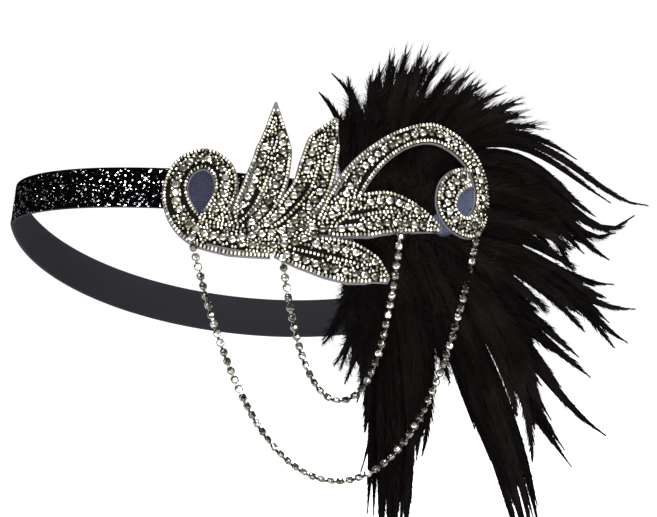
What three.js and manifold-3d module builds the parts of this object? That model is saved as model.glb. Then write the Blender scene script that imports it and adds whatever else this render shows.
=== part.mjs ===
// A 1920s style feather headband, worn round the head above the ears: a glitter elastic loop, a beaded
// rhinestone applique bent round its front, two swags of rhinestone cup chain, and a plume of dyed feathers
// on a pad that is sandwiched between the loop and the applique.
// Millimetres. +Z up, -Y to the front, +X to the wearer's left. The origin is the middle of the head
// loop where it is widest.
import * as THREE from "three";
import { mergeVertices } from "three/addons/utils/BufferGeometryUtils.js";
import Module from "manifold-3d";

// Head loop: two half ellipses that share the loop's width, flatter in front where the applique stiffens it
const LOOP_WIDTH = 208;
const FRONT_DEPTH = 36;
const BACK_DEPTH = 102;
const BAND_WIDTH = 19;
const BAND_THICKNESS = 1.5;
const LOOP_STEPS = 48;

// As worn, the back of the loop sits lower than the front, and the plume's side a little lower too
const WORN_TILT_DEG = 24;
const WORN_ROLL_DEG = 5.4;

// Layers in front of the band
const GAP = 0.3;
const PAD_THICKNESS = 2.2;
const BACKING_THICKNESS = 1.2;
const BEAD_HEIGHT = 1.5;
const BACKING_MARGIN = 0.8;

// Cut stones in the beadwork
const STONE_DIAMETER = 4;
const STONE_RISE = 1.2;
const STONE_SINK = 0.5;

// Applique: the places in its tables are shares of its length along the band and of its height, from a spot in
// the middle of the loop's front that sits a little above the middle of the band
const APPLIQUE_LENGTH = 150;
const APPLIQUE_HEIGHT = 84;
const APPLIQUE_RISE = 1.6;

// Cup chain
const CUP_DIAMETER = 3.2;
const CUP_DEPTH = 1.5;
const CUP_CROWN = 0.6;
const CUP_PITCH = 4.2;
const CHAIN_STANDOFF = 0.6;
const OUTER_CHAIN_LENGTH = 264;
const INNER_CHAIN_LENGTH = 154;

// Plume
const PAD_FROM = 0.27;
const PAD_TO = 0.69;
const PAD_HEIGHT = 25;
const FEATHER_THICKNESS = 1.8;

const rad = THREE.MathUtils.degToRad;
const wasm = await Module();
wasm.setup();

// Solids and geometries

function toSolid(geometry) {
  const bare = new THREE.BufferGeometry();
  bare.setAttribute("position", geometry.getAttribute("position"));
  if (geometry.index) bare.setIndex(geometry.index);
  const merged = mergeVertices(bare, 1e-4);
  return new wasm.Manifold(
    new wasm.Mesh({
      numProp: 3,
      vertProperties: new Float32Array(merged.attributes.position.array),
      triVerts: new Uint32Array(merged.index.array),
    }),
  );
}

function toGeometry(solid) {
  const made = solid.getMesh();
  const places = new Float32Array(made.numVert * 3);
  for (let i = 0; i < made.numVert; i++) {
    places.set(made.vertProperties.subarray(i * made.numProp, i * made.numProp + 3), i * 3);
  }
  const geometry = new THREE.BufferGeometry();
  geometry.setAttribute("position", new THREE.BufferAttribute(places, 3));
  geometry.setIndex(new THREE.BufferAttribute(new Uint32Array(made.triVerts), 1));
  return geometry;
}

// A solid through rings of points that all have the same count, with flat ends, or closed on itself as a hoop.
function loft(rings, hoop = false) {
  const count = rings[0].length;
  const places = rings.flat().flatMap((p) => [p.x, p.y, p.z]);
  const faces = [];
  const spans = hoop ? rings.length : rings.length - 1;
  for (let r = 0; r < spans; r++) {
    const next = (r + 1) % rings.length;
    for (let k = 0; k < count; k++) {
      const a = r * count + k;
      const b = r * count + ((k + 1) % count);
      const c = next * count + ((k + 1) % count);
      const d = next * count + k;
      faces.push(a, b, c, a, c, d);
    }
  }
  if (!hoop) {
    const last = (rings.length - 1) * count;
    for (let k = 1; k < count - 1; k++) faces.push(0, k + 1, k, last, last + k, last + k + 1);
  }
  return facingOut(places, faces);
}

// Turns the faces round if they enclose a negative volume.
function facingOut(places, faces) {
  const at = (i) => new THREE.Vector3(places[3 * i], places[3 * i + 1], places[3 * i + 2]);
  let volume = 0;
  for (let f = 0; f < faces.length; f += 3) {
    volume += at(faces[f]).dot(at(faces[f + 1]).cross(at(faces[f + 2])));
  }
  if (volume < 0) {
    for (let f = 0; f < faces.length; f += 3) [faces[f + 1], faces[f + 2]] = [faces[f + 2], faces[f + 1]];
  }
  const geometry = new THREE.BufferGeometry();
  geometry.setAttribute("position", new THREE.Float32BufferAttribute(places, 3));
  geometry.setIndex(faces);
  return geometry;
}

// The loop and the bending of flat work round its front

const HALF_WIDTH = LOOP_WIDTH / 2;
const FACE_OFFSET = BAND_THICKNESS / 2 + GAP + PAD_THICKNESS + GAP + BACKING_THICKNESS + BEAD_HEIGHT;

// A place on the loop's middle line and its outward direction. Angle 0 is the wearer's left, -90 the front.
function loopAt(angle, offset = 0) {
  const depth = Math.sin(angle) < 0 ? FRONT_DEPTH : BACK_DEPTH;
  const out = new THREE.Vector2(depth * Math.cos(angle), HALF_WIDTH * Math.sin(angle)).normalize();
  return new THREE.Vector2(
    HALF_WIDTH * Math.cos(angle) + offset * out.x,
    depth * Math.sin(angle) + offset * out.y,
  );
}

// Arc lengths along the face of the beadwork, from the middle of the front, against the loop's angle
const FACE_TABLE = [];
{
  const steps = 720;
  let along = 0;
  let last = null;
  for (let i = 0; i <= steps; i++) {
    const angle = -Math.PI + (Math.PI * i) / steps;
    const here = loopAt(angle, FACE_OFFSET);
    if (last) along += here.distanceTo(last);
    FACE_TABLE.push({ angle, along });
    last = here;
  }
  const middle = FACE_TABLE[steps / 2].along;
  for (const row of FACE_TABLE) row.along -= middle;
}

function angleAt(along) {
  let high = FACE_TABLE.findIndex((row) => row.along >= along);
  if (high < 1) high = high < 0 ? FACE_TABLE.length - 1 : 1;
  const a = FACE_TABLE[high - 1];
  const b = FACE_TABLE[high];
  return a.angle + ((along - a.along) / (b.along - a.along)) * (b.angle - a.angle);
}

// Flat work: x runs along the band, y up it, and z out from the backing's rear face. On the plume's side the
// backing stands off the band by the pad, and at the other end it lies against the band.
function standoff(along) {
  const share = THREE.MathUtils.smoothstep(along, 0, PAD_FROM * APPLIQUE_LENGTH * 0.9);
  return BAND_THICKNESS / 2 + GAP + share * (PAD_THICKNESS + GAP);
}

function bend(flat) {
  const place = loopAt(angleAt(flat.x), standoff(flat.x) + flat.z);
  return new THREE.Vector3(place.x, place.y, flat.y + APPLIQUE_RISE);
}

// Splits each triangle that crosses a line of equal x, so that a bent face follows the band.
function sliceAcross(geometry, cut) {
  const places = Array.from(geometry.attributes.position.array);
  const faces = [];
  const made = new Map();
  const x = (i) => places[3 * i];
  const crossing = (a, b) => {
    const key = Math.min(a, b) + "_" + Math.max(a, b);
    if (!made.has(key)) {
      const share = (cut - x(a)) / (x(b) - x(a));
      made.set(key, places.length / 3);
      for (let k = 0; k < 3; k++) {
        places.push(k ? places[3 * a + k] + share * (places[3 * b + k] - places[3 * a + k]) : cut);
      }
    }
    return made.get(key);
  };
  const old = geometry.index.array;
  for (let f = 0; f < old.length; f += 3) {
    const corner = [old[f], old[f + 1], old[f + 2]];
    const side = corner.map((i) => Math.sign(x(i) - cut));
    const lone = side.findIndex((s, k) => s && s === -side[(k + 1) % 3] && s !== side[(k + 2) % 3]);
    if (lone < 0 || side.every((s) => s >= 0) || side.every((s) => s <= 0)) {
      faces.push(...corner);
      continue;
    }
    const start = side.includes(0) ? lone : side.findIndex((s, k) => s !== side[(k + 1) % 3] && s !== side[(k + 2) % 3]);
    const [a, b, c] = [0, 1, 2].map((k) => corner[(start + k) % 3]);
    if (side.includes(0)) {
      const m = crossing(a, b);
      faces.push(a, m, c, m, b, c);
    } else {
      const m = crossing(a, b);
      const n = crossing(a, c);
      faces.push(a, m, n, m, b, c, m, c, n);
    }
  }
  const out = new THREE.BufferGeometry();
  out.setAttribute("position", new THREE.Float32BufferAttribute(places, 3));
  out.setIndex(faces);
  return out;
}

// Lines of equal x every bend step, closer together where the loop turns tightly.
function bendLines() {
  const lines = [];
  const turn = rad(12);
  let last = null;
  for (const row of FACE_TABLE) {
    const out = Math.atan2(HALF_WIDTH * Math.sin(row.angle), FRONT_DEPTH * Math.cos(row.angle));
    if (last === null || out - last >= turn) {
      lines.push(row.along);
      last = out;
    }
  }
  return lines;
}

function bent(flatSolid) {
  let geometry = toGeometry(flatSolid);
  geometry.computeBoundingBox();
  const { min, max } = geometry.boundingBox;
  for (const line of bendLines()) {
    if (line > min.x + 0.5 && line < max.x - 0.5) geometry = sliceAcross(geometry, line);
  }
  const place = geometry.attributes.position;
  for (let i = 0; i < place.count; i++) {
    const p = bend(new THREE.Vector3().fromBufferAttribute(place, i));
    place.setXYZ(i, p.x, p.y, p.z);
  }
  return facingOut(Array.from(place.array), Array.from(geometry.index.array));
}

// Motifs of the applique

// Each motif follows a spine. at: shares of the applique's length along the band and of its height, from the
// middle of the loop's front. wide: half widths there, as shares of the height. stoneCount: how many big stones
// follow the spine, between the shares from and to of its length. vein: a leaf with a groove down its middle.
const MOTIFS = {
  left_scroll: {
    at: [
      [0.09, -0.335], [-0.03, -0.3], [-0.135, -0.265], [-0.197, -0.165], [-0.216, -0.02],
      [-0.192, 0.105], [-0.135, 0.155], [-0.078, 0.105], [-0.056, -0.01], [-0.073, -0.115], [-0.11, -0.185],
    ],
    wide: [0.045, 0.085, 0.065, 0.052, 0.05, 0.05, 0.048, 0.048, 0.046, 0.04, 0.02],
    stoneCount: 9, from: 0.05, to: 0.93, vein: false,
  },
  tall_leaf: {
    at: [[-0.055, -0.27], [-0.005, -0.195], [0.03, -0.1], [0.057, 0.06], [0.066, 0.24], [0.056, 0.475]],
    wide: [0.03, 0.07, 0.09, 0.1, 0.088, 0.008],
    stoneCount: 4, from: 0.28, to: 0.86, vein: true,
  },
  second_leaf: {
    at: [
      [0.055, -0.245], [0.11, -0.17], [0.152, -0.075], [0.183, 0.03], [0.196, 0.15], [0.209, 0.3], [0.236, 0.435],
    ],
    wide: [0.04, 0.08, 0.095, 0.097, 0.098, 0.085, 0.012],
    stoneCount: 5, from: 0.2, to: 0.88, vein: true,
  },
  arc_scroll: {
    at: [
      [0.233, -0.16], [0.27, -0.05], [0.315, 0.14], [0.38, 0.3], [0.458, 0.418], [0.54, 0.474], [0.622, 0.443],
      [0.69, 0.365], [0.729, 0.25], [0.73, 0.12], [0.692, 0.01], [0.638, 0.004], [0.6, 0.07], [0.604, 0.18],
      [0.635, 0.262],
    ],
    wide: [0.05, 0.078, 0.07, 0.056, 0.05, 0.056, 0.052, 0.05, 0.054, 0.056, 0.054, 0.05, 0.048, 0.044, 0.02],
    stoneCount: 10, from: 0.1, to: 0.94, vein: false,
  },
  right_leaf: {
    at: [[0.185, -0.185], [0.26, -0.145], [0.34, -0.085], [0.42, -0.037], [0.5, -0.04], [0.592, -0.066]],
    wide: [0.04, 0.085, 0.12, 0.118, 0.082, 0.01],
    stoneCount: 3, from: 0.3, to: 0.88, vein: true,
  },
  lower_leaf: {
    at: [[0.1, -0.315], [0.17, -0.33], [0.25, -0.348], [0.32, -0.357], [0.38, -0.375], [0.436, -0.417]],
    wide: [0.055, 0.09, 0.112, 0.115, 0.083, 0.01],
    stoneCount: 3, from: 0.24, to: 0.84, vein: true,
  },
  centre_cluster: {
    at: [[0.0, -0.3], [0.07, -0.285], [0.14, -0.255], [0.2, -0.215]],
    wide: [0.035, 0.065, 0.07, 0.045],
    stoneCount: 3, from: 0.05, to: 0.95, vein: false,
  },
};
const VEIN_PROFILE = [[-1, 0], [-1, 0.55], [-0.5, 1], [0, 0.62], [0.5, 1], [1, 0.55], [1, 0]];
const PLAIN_PROFILE = [[-1, 0], [-1, 0.6], [-0.4, 1], [0.4, 1], [1, 0.6], [1, 0]];

function spineOf(motif) {
  const spots = motif.at.map(([x, y]) => new THREE.Vector3(x * APPLIQUE_LENGTH, y * APPLIQUE_HEIGHT, 0));
  return new THREE.CatmullRomCurve3(spots, false, "centripetal");
}

// A table's value at a share of its length, straight between its entries.
function tableAt(table, share) {
  const place = share * (table.length - 1);
  const low = Math.min(Math.floor(place), table.length - 2);
  return THREE.MathUtils.lerp(table[low], table[low + 1], place - low);
}

// Sections of a motif across its spine. grow widens it, and profile gives shares of half width and height.
function motifRings(motif, profile, grow, low, high) {
  const spine = spineOf(motif);
  const spans = motif.at.length - 1;
  return Array.from({ length: spans + 1 }, (_, i) => {
    const share = i / spans;
    const centre = spine.getPoint(share);
    const ahead = spine.getTangent(share);
    const across = new THREE.Vector3(-ahead.y, ahead.x, 0);
    const half = tableAt(motif.wide, share) * APPLIQUE_HEIGHT + grow;
    const lengthen = i === 0 ? -grow : i === spans ? grow : 0;
    return profile.map(([x, z]) =>
      centre.clone().addScaledVector(across, x * half).addScaledVector(ahead, lengthen)
        .setZ(low + z * (high - low)),
    );
  });
}

// A plate of the motif's outline: the backing under it, or what cuts its neighbours back.
function motifPlate(motif, grow, low, high) {
  const square = [[-1, 0], [-1, 1], [1, 1], [1, 0]];
  return toSolid(loft(motifRings(motif, square, grow, low, high)));
}

// A cut stone in the flat: straight girdle, eight crown facets and a table.
function stoneSolid(x, y, base) {
  const radius = STONE_DIAMETER / 2;
  const girdle = STONE_RISE * 0.45;
  const ring = (share, z) =>
    Array.from({ length: 8 }, (_, k) => {
      const angle = (k + 0.5) * (Math.PI / 4);
      return new THREE.Vector3(x + share * radius * Math.cos(angle), y + share * radius * Math.sin(angle), base + z);
    });
  return toSolid(loft([ring(1, -STONE_SINK), ring(1, girdle), ring(0.55, STONE_RISE)]));
}

function motifStones(motif, base) {
  const spine = spineOf(motif);
  const solids = [];
  for (let i = 0; i < motif.stoneCount; i++) {
    const share = motif.from + ((motif.to - motif.from) * (i + 0.5)) / motif.stoneCount;
    const spot = spine.getPointAt(share);
    solids.push(stoneSolid(spot.x, spot.y, base));
  }
  return solids;
}

// The motif's bed of beads with its big stones, kept clear of the motifs laid before it.
function motifSolid(motif, before) {
  const low = BACKING_THICKNESS + GAP;
  const high = low + BEAD_HEIGHT;
  const profile = motif.vein ? VEIN_PROFILE : PLAIN_PROFILE;
  let bed = toSolid(loft(motifRings(motif, profile, 0, low, high)));
  const sink = motif.vein ? 0.38 * BEAD_HEIGHT : 0;
  for (const stone of motifStones(motif, high - sink)) bed = bed.add(stone);
  for (const other of before) {
    bed = bed.subtract(motifPlate(other, GAP, low - 1, high + STONE_RISE + 1));
  }
  return bed;
}

// Fabric that shows inside the scrolls and between the right leaf's tip and the right scroll, as spots of the
// backing: shares of length and height, and a radius as a share of the height.
const FABRIC_SPOTS = [
  { at: [-0.135, -0.04], radius: 0.13 },
  { at: [0.665, 0.14], radius: 0.12 },
  { at: [0.59, -0.03], radius: 0.065 },
  { at: [0.1, -0.16], radius: 0.12 },
  { at: [0.25, -0.2], radius: 0.13 },
  { at: [-0.1, -0.2], radius: 0.07 },
];

function backingSolid(grow = 0, low = 0, high = BACKING_THICKNESS) {
  let plate = null;
  for (const motif of Object.values(MOTIFS)) {
    const piece = motifPlate(motif, BACKING_MARGIN + grow, low, high);
    plate = plate ? plate.add(piece) : piece;
  }
  for (const { at, radius } of FABRIC_SPOTS) {
    const size = radius * APPLIQUE_HEIGHT + grow;
    const disc = new THREE.CylinderGeometry(size, size, high - low, 8).rotateX(Math.PI / 2);
    disc.translate(at[0] * APPLIQUE_LENGTH, at[1] * APPLIQUE_HEIGHT, (high + low) / 2);
    plate = plate.add(toSolid(disc));
  }
  return plate;
}

// Band

function bandGeometry(grow = 0) {
  const half = BAND_WIDTH / 2 + grow;
  const thick = BAND_THICKNESS / 2 + grow;
  const rings = Array.from({ length: LOOP_STEPS }, (_, i) => {
    const angle = (2 * Math.PI * i) / LOOP_STEPS;
    const inner = loopAt(angle, -thick);
    const outer = loopAt(angle, thick);
    return [
      new THREE.Vector3(inner.x, inner.y, -half), new THREE.Vector3(outer.x, outer.y, -half),
      new THREE.Vector3(outer.x, outer.y, half), new THREE.Vector3(inner.x, inner.y, half),
    ];
  });
  return loft(rings, true);
}

// The worn turn of the loop and of what is fixed to it
const worn = new THREE.Group();
worn.rotation.set(-rad(WORN_TILT_DEG), rad(WORN_ROLL_DEG), 0, "YXZ");
worn.updateMatrix();

// Cup chains

// Where the chains hang from, as shares of the applique's length and height
const CHAINS = {
  outer_chain: { from: [-0.145, -0.32], to: [0.7, -0.025], length: OUTER_CHAIN_LENGTH, lean: 0.8 },
  inner_chain: { from: [0.12, -0.392], to: [0.452, -0.12], length: INNER_CHAIN_LENGTH, lean: 0 },
};

function chainEnd([x, y]) {
  const out = BACKING_THICKNESS + GAP + BEAD_HEIGHT + CHAIN_STANDOFF + CUP_DEPTH / 2;
  const flat = new THREE.Vector3(x * APPLIQUE_LENGTH, y * APPLIQUE_HEIGHT, out);
  return bend(flat).applyMatrix4(worn.matrix);
}

// Evenly spaced places and directions on the catenary of that length between two points. The lean is in
// degrees off plumb, to the plume's side, where the feathers behind hold it.
function catenary({ from, to, length, lean }) {
  const turn = new THREE.Quaternion().setFromAxisAngle(new THREE.Vector3(0, 1, 0), rad(lean));
  const start = chainEnd(from).applyQuaternion(turn);
  const end = chainEnd(to).applyQuaternion(turn);
  turn.invert();
  const level = new THREE.Vector3(end.x - start.x, end.y - start.y, 0);
  const span = level.length();
  const rise = end.z - start.z;
  const wanted = Math.sqrt(length * length - rise * rise);
  let low = span / 40;
  let high = span * 40;
  for (let i = 0; i < 80; i++) {
    const middle = Math.sqrt(low * high);
    if (2 * middle * Math.sinh(span / (2 * middle)) > wanted) low = middle;
    else high = middle;
  }
  const shape = Math.sqrt(low * high);
  const lowest = span / 2 - shape * Math.atanh(rise / length);
  const count = Math.floor(length / CUP_PITCH);
  level.normalize();
  return Array.from({ length: count + 1 }, (_, i) => {
    const arc = (length * i) / count;
    const x = lowest + shape * Math.asinh(arc / shape - Math.sinh(lowest / shape));
    const z = shape * (Math.cosh((x - lowest) / shape) - Math.cosh(lowest / shape));
    const place = start.clone().addScaledVector(level, x).add(new THREE.Vector3(0, 0, z));
    const slope = Math.sinh((x - lowest) / shape);
    const ahead = level.clone().setZ(slope).normalize();
    return { place: place.applyQuaternion(turn), ahead: ahead.applyQuaternion(turn) };
  });
}

// One fused strand: rounded square cups, each with a stone of eight facets and a table, and a bar to the next.
function chainGeometry(chain) {
  const stops = catenary(chain);
  const radius = CUP_DIAMETER / 2;
  const outline = [
    [1, -0.26], [1, 0.26], [0.46, 0.96], [-0.46, 0.96], [-1, 0.26], [-1, -0.26], [-0.46, -0.96], [0.46, -0.96],
  ];
  const places = [];
  const faces = [];
  const quad = (a, b, c, d) => faces.push(a, b, c, a, c, d);
  stops.forEach(({ place, ahead }, i) => {
    const level = new THREE.Vector3(ahead.x, ahead.y, 0).normalize();
    const front = new THREE.Vector3(level.y, -level.x, 0);
    const side = new THREE.Vector3().crossVectors(front, ahead);
    const base = places.length / 3;
    const levels = [[1, -CUP_DEPTH / 2], [1, CUP_DEPTH / 2], [0.55, CUP_DEPTH / 2 + CUP_CROWN]];
    for (const [share, out] of levels) {
      for (const [u, v] of outline) {
        const p = place.clone().addScaledVector(ahead, share * u * radius)
          .addScaledVector(side, share * v * radius).addScaledVector(front, out);
        places.push(p.x, p.y, p.z);
      }
    }
    for (let k = 0; k < 8; k++) {
      const n = (k + 1) % 8;
      const open = (k === 0 && i < stops.length - 1) || (k === 4 && i > 0);
      if (!open) quad(base + k, base + n, base + 8 + n, base + 8 + k);
      quad(base + 8 + k, base + 8 + n, base + 16 + n, base + 16 + k);
    }
    for (let k = 1; k < 7; k++) {
      faces.push(base, base + k + 1, base + k, base + 16, base + 16 + k, base + 17 + k);
    }
    if (i > 0) {
      // The bar joins this cup's rear flat to the last cup's front flat.
      const last = base - 24;
      quad(last, last + 1, base + 4, base + 5);
      quad(last + 1, last + 9, base + 12, base + 4);
      quad(last + 9, last + 8, base + 13, base + 12);
      quad(last + 8, last, base + 5, base + 13);
    }
  });
  return facingOut(places, faces);
}

// The room that a chain keeps clear of feathers.
function chainRoom(chain) {
  const half = CUP_DIAMETER / 2 + 2 * GAP;
  const back = CUP_DEPTH / 2 + GAP;
  const front = CUP_DEPTH / 2 + CUP_CROWN + GAP;
  const stops = catenary(chain).filter((_, i, all) => i % 2 === 0 || i === all.length - 1);
  const rings = stops.map(({ place, ahead }, i) => {
    const lengthen = i === 0 ? -half : i === stops.length - 1 ? half : 0;
    const level = new THREE.Vector3(ahead.x, ahead.y, 0).normalize();
    const out = new THREE.Vector3(level.y, -level.x, 0);
    const side = new THREE.Vector3().crossVectors(out, ahead);
    return [[-half, -back], [half, -back], [half, front], [-half, front]].map(([u, v]) =>
      place.clone().addScaledVector(ahead, lengthen).addScaledVector(side, u).addScaledVector(out, v),
    );
  });
  return toSolid(loft(rings));
}

// Plume

// The plume's places are shares of its reach, measured from a spot in the middle of the pad.
const PLUME_REACH = 100;
const PLUME_CENTRE_X = 60;

// One row for each lock of feathers. root: shares of the applique's length and height, on the pad. tip: x and z
// in the front view. bow: how far its middle bulges to the left of its way, back: how far its tip lies behind
// its root, and flick: how far it sags before its tip turns up again, all as shares of its length. wide: half
// width as a share of the reach.
const LOCKS = [
  // Two thin sprigs and the soft tuft beside them
  { root: [0.285, 0.125], tip: [-0.268, 0.577], bow: -0.16, back: 0.42, wide: 0.026 },
  { root: [0.3, 0.13], tip: [-0.211, 0.665], bow: -0.14, back: 0.44, wide: 0.026 },
  { root: [0.32, 0.13], tip: [-0.13, 0.6], bow: -0.04, back: 0.42, wide: 0.08 },
  { root: [0.35, 0.13], tip: [-0.05, 0.66], bow: 0.0, back: 0.45, wide: 0.07 },
  // The upright feathers
  { root: [0.37, 0.13], tip: [0.055, 0.78], bow: 0.02, back: 0.43, wide: 0.05 },
  { root: [0.38, 0.13], tip: [0.13, 0.81], bow: 0.03, back: 0.46, wide: 0.055 },
  { root: [0.4, 0.13], tip: [0.2, 0.8], bow: 0.03, back: 0.43, wide: 0.06 },
  { root: [0.42, 0.13], tip: [0.285, 0.775], bow: 0.04, back: 0.46, wide: 0.06 },
  { root: [0.43, 0.13], tip: [0.34, 0.7], bow: 0.05, back: 0.43, wide: 0.06 },
  { root: [0.44, 0.13], tip: [0.41, 0.7], bow: 0.05, back: 0.46, wide: 0.06 },
  { root: [0.46, 0.13], tip: [0.47, 0.65], bow: 0.06, back: 0.43, wide: 0.06 },
  { root: [0.47, 0.13], tip: [0.56, 0.61], bow: 0.09, back: 0.47, wide: 0.06 },
  { root: [0.475, 0.13], tip: [0.66, 0.565], bow: 0.12, back: 0.44, wide: 0.06 },
  { root: [0.48, 0.13], tip: [0.76, 0.44], bow: 0.15, back: 0.45, wide: 0.07 },
  // The long tails that arch over to the plume's side
  { root: [0.45, 0.13], tip: [1.231, 0.096], bow: 0.26, back: 0.55, wide: 0.04, flick: 0.09 },
  { root: [0.48, 0.13], tip: [1.173, 0.043], bow: 0.22, back: 0.57, wide: 0.05, flick: 0.17 },
  { root: [0.49, 0.13], tip: [1.078, -0.031], bow: 0.22, back: 0.6, wide: 0.06, flick: 0.13 },
  { root: [0.5, 0.13], tip: [1.05, -0.15], bow: 0.2, back: 0.6, wide: 0.055, flick: 0.05 },
  { root: [0.53, 0.12], tip: [0.845, -0.155], bow: 0.22, back: 0.55, wide: 0.08 },
  // The side, between the tails and the low feathers
  { root: [0.57, 0.1], tip: [0.84, -0.05], bow: 0.14, back: 0.5, wide: 0.09 },
  { root: [0.6, 0.02], tip: [0.86, -0.19], bow: 0.08, back: 0.45, wide: 0.08 },
  { root: [0.6, 0.02], tip: [1.044, -0.267], bow: 0.0, back: 0.42, wide: 0.04, flick: 0.03 },
  { root: [0.62, -0.02], tip: [1.006, -0.323], bow: 0.0, back: 0.38, wide: 0.05 },
  // The low side, from thin single feathers to a broad blunt one
  { root: [0.63, -0.05], tip: [1.14, -0.379], bow: 0.01, back: 0.36, wide: 0.045, flick: 0.04 },
  { root: [0.63, -0.07], tip: [1.107, -0.525], bow: 0.07, back: 0.34, wide: 0.05, flick: 0.03 },
  { root: [0.62, -0.1], tip: [1.045, -0.544], bow: 0.04, back: 0.34, wide: 0.06 },
  { root: [0.61, -0.11], tip: [0.728, -0.335], bow: 0.02, back: 0.36, wide: 0.08 },
  { root: [0.6, -0.12], tip: [0.781, -0.568], bow: -0.02, back: 0.34, wide: 0.06 },
  { root: [0.6, -0.12], tip: [0.935, -0.678], bow: -0.03, back: 0.34, wide: 0.04 },
  { root: [0.58, -0.12], tip: [1.006, -0.942], bow: 0.01, back: 0.3, wide: 0.045, flick: 0.02 },
  { root: [0.56, -0.12], tip: [0.855, -1.083], bow: 0.03, back: 0.28, wide: 0.045, flick: 0.01 },
  { root: [0.56, -0.12], tip: [0.64, -0.74], bow: 0.05, back: 0.34, wide: 0.1 },
  // The bundle below the plume's outer side
  { root: [0.5, -0.12], tip: [0.55, -1.184], bow: 0.0, back: 0.2, wide: 0.05 },
  { root: [0.53, -0.12], tip: [0.66, -1.04], bow: 0.09, back: 0.2, wide: 0.05 },
  { root: [0.5, -0.12], tip: [0.58, -1.356], bow: 0.03, back: 0.17, wide: 0.05 },
  { root: [0.52, -0.12], tip: [0.66, -1.356], bow: 0.06, back: 0.17, wide: 0.045 },
  { root: [0.49, -0.12], tip: [0.35, -0.76], bow: 0.02, back: 0.24, wide: 0.12 },
  { root: [0.53, -0.12], tip: [0.51, -0.55], bow: 0.04, back: 0.3, wide: 0.13 },
  // The bundle between the chains, and the soft underside
  { root: [0.34, -0.12], tip: [-0.09, -1.087], bow: 0.02, back: 0.19, wide: 0.04 },
  { root: [0.37, -0.12], tip: [-0.01, -1.35], bow: 0.0, back: 0.17, wide: 0.04 },
  { root: [0.385, -0.12], tip: [0.05, -1.362], bow: 0.03, back: 0.17, wide: 0.06 },
  { root: [0.43, -0.12], tip: [0.12, -1.1], bow: 0.1, back: 0.18, wide: 0.045 },
  { root: [0.3, -0.12], tip: [-0.26, -0.526], bow: 0.1, back: 0.24, wide: 0.08 },
  { root: [0.32, -0.12], tip: [-0.165, -0.7], bow: 0.08, back: 0.2, wide: 0.1 },
  { root: [0.38, -0.12], tip: [0.07, -0.77], bow: 0.03, back: 0.27, wide: 0.14 },
  { root: [0.44, -0.12], tip: [0.23, -0.64], bow: 0.04, back: 0.23, wide: 0.12 },
];

// Half widths along a lock, as shares of its widest. A lock that bows has more steps than a straight one.
const LOCK_SHAPE = [0.4, 0.85, 1, 0.9, 0.65, 0.07];
const STRAIGHT_STEPS = 3;
const BOWED_STEPS = 5;
const BOWED_FROM = 0.14;

function lockSolid({ root, tip, bow, back, wide, flick = 0 }) {
  const layer = -GAP - PAD_THICKNESS / 2;
  const start = bend(new THREE.Vector3(root[0] * APPLIQUE_LENGTH, root[1] * APPLIQUE_HEIGHT, layer))
    .applyMatrix4(worn.matrix);
  const end = new THREE.Vector3(
    PLUME_CENTRE_X + tip[0] * PLUME_REACH, start.y, APPLIQUE_RISE + tip[1] * PLUME_REACH,
  );
  const long = end.distanceTo(start);
  const left = new THREE.Vector3(start.z - end.z, 0, end.x - start.x);
  const middle = start.clone().lerp(end, 0.5).addScaledVector(left, 2 * bow);
  end.y += back * long;
  middle.y += 0.95 * back * long;
  const way = new THREE.QuadraticBezierCurve3(start, middle, end);
  const sagged = (share) => {
    const t = THREE.MathUtils.clamp(share, 0, 1);
    return way.getPoint(t).addScaledVector(left, -flick * 12.2 * t ** 4 * (1 - t));
  };
  const steps = Math.abs(bow) < BOWED_FROM ? STRAIGHT_STEPS : BOWED_STEPS;
  const rings = Array.from({ length: steps + 1 }, (_, i) => {
    const centre = sagged(i / steps);
    const ahead = sagged(i / steps + 0.02).sub(sagged(i / steps - 0.02)).normalize();
    const across = new THREE.Vector3(-ahead.z, 0, ahead.x).normalize();
    const thick = new THREE.Vector3().crossVectors(ahead, across);
    const half = wide * PLUME_REACH * tableAt(LOCK_SHAPE, i / steps);
    const deep = (FEATHER_THICKNESS / 2) * (i === steps ? 0.4 : 1);
    return [[1, -0.5], [0, 1], [-1, -0.5]].map(([u, v]) =>
      centre.clone().addScaledVector(across, u * half).addScaledVector(thick, v * deep),
    );
  });
  return toSolid(loft(rings));
}

function padSolid() {
  const across = [[-1, -0.6], [-0.85, -1], [0.85, -1], [1, -0.6], [1, 0.6], [0.85, 1], [-0.85, 1], [-1, 0.6]];
  const middle = ((PAD_FROM + PAD_TO) / 2) * APPLIQUE_LENGTH;
  const half = ((PAD_TO - PAD_FROM) / 2) * APPLIQUE_LENGTH;
  const ring = (z) => across.map(([x, y]) => new THREE.Vector3(middle + x * half, (y * PAD_HEIGHT) / 2, z));
  return toSolid(loft([ring(-GAP - PAD_THICKNESS), ring(-GAP)]));
}

// The plume in the worn frame of the whole headband, cut clear of the band and of the applique in front of it.
function plumeGeometry() {
  const inPlace = (geometry) => toSolid(geometry.applyMatrix4(worn.matrix));
  let plume = inPlace(bent(padSolid()));
  for (const lock of LOCKS) plume = plume.add(lockSolid(lock));
  const stack = BACKING_THICKNESS + GAP + BEAD_HEIGHT + STONE_RISE;
  plume = plume.subtract(inPlace(bent(backingSolid(GAP, -GAP, stack + GAP))));
  plume = plume.subtract(inPlace(bandGeometry(GAP)));
  for (const chain of Object.values(CHAINS)) plume = plume.subtract(chainRoom(chain));
  const bodies = toSolid(toGeometry(plume)).simplify(0.08).decompose().sort((a, b) => b.volume() - a.volume());
  return toGeometry(bodies[0]);
}

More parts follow.
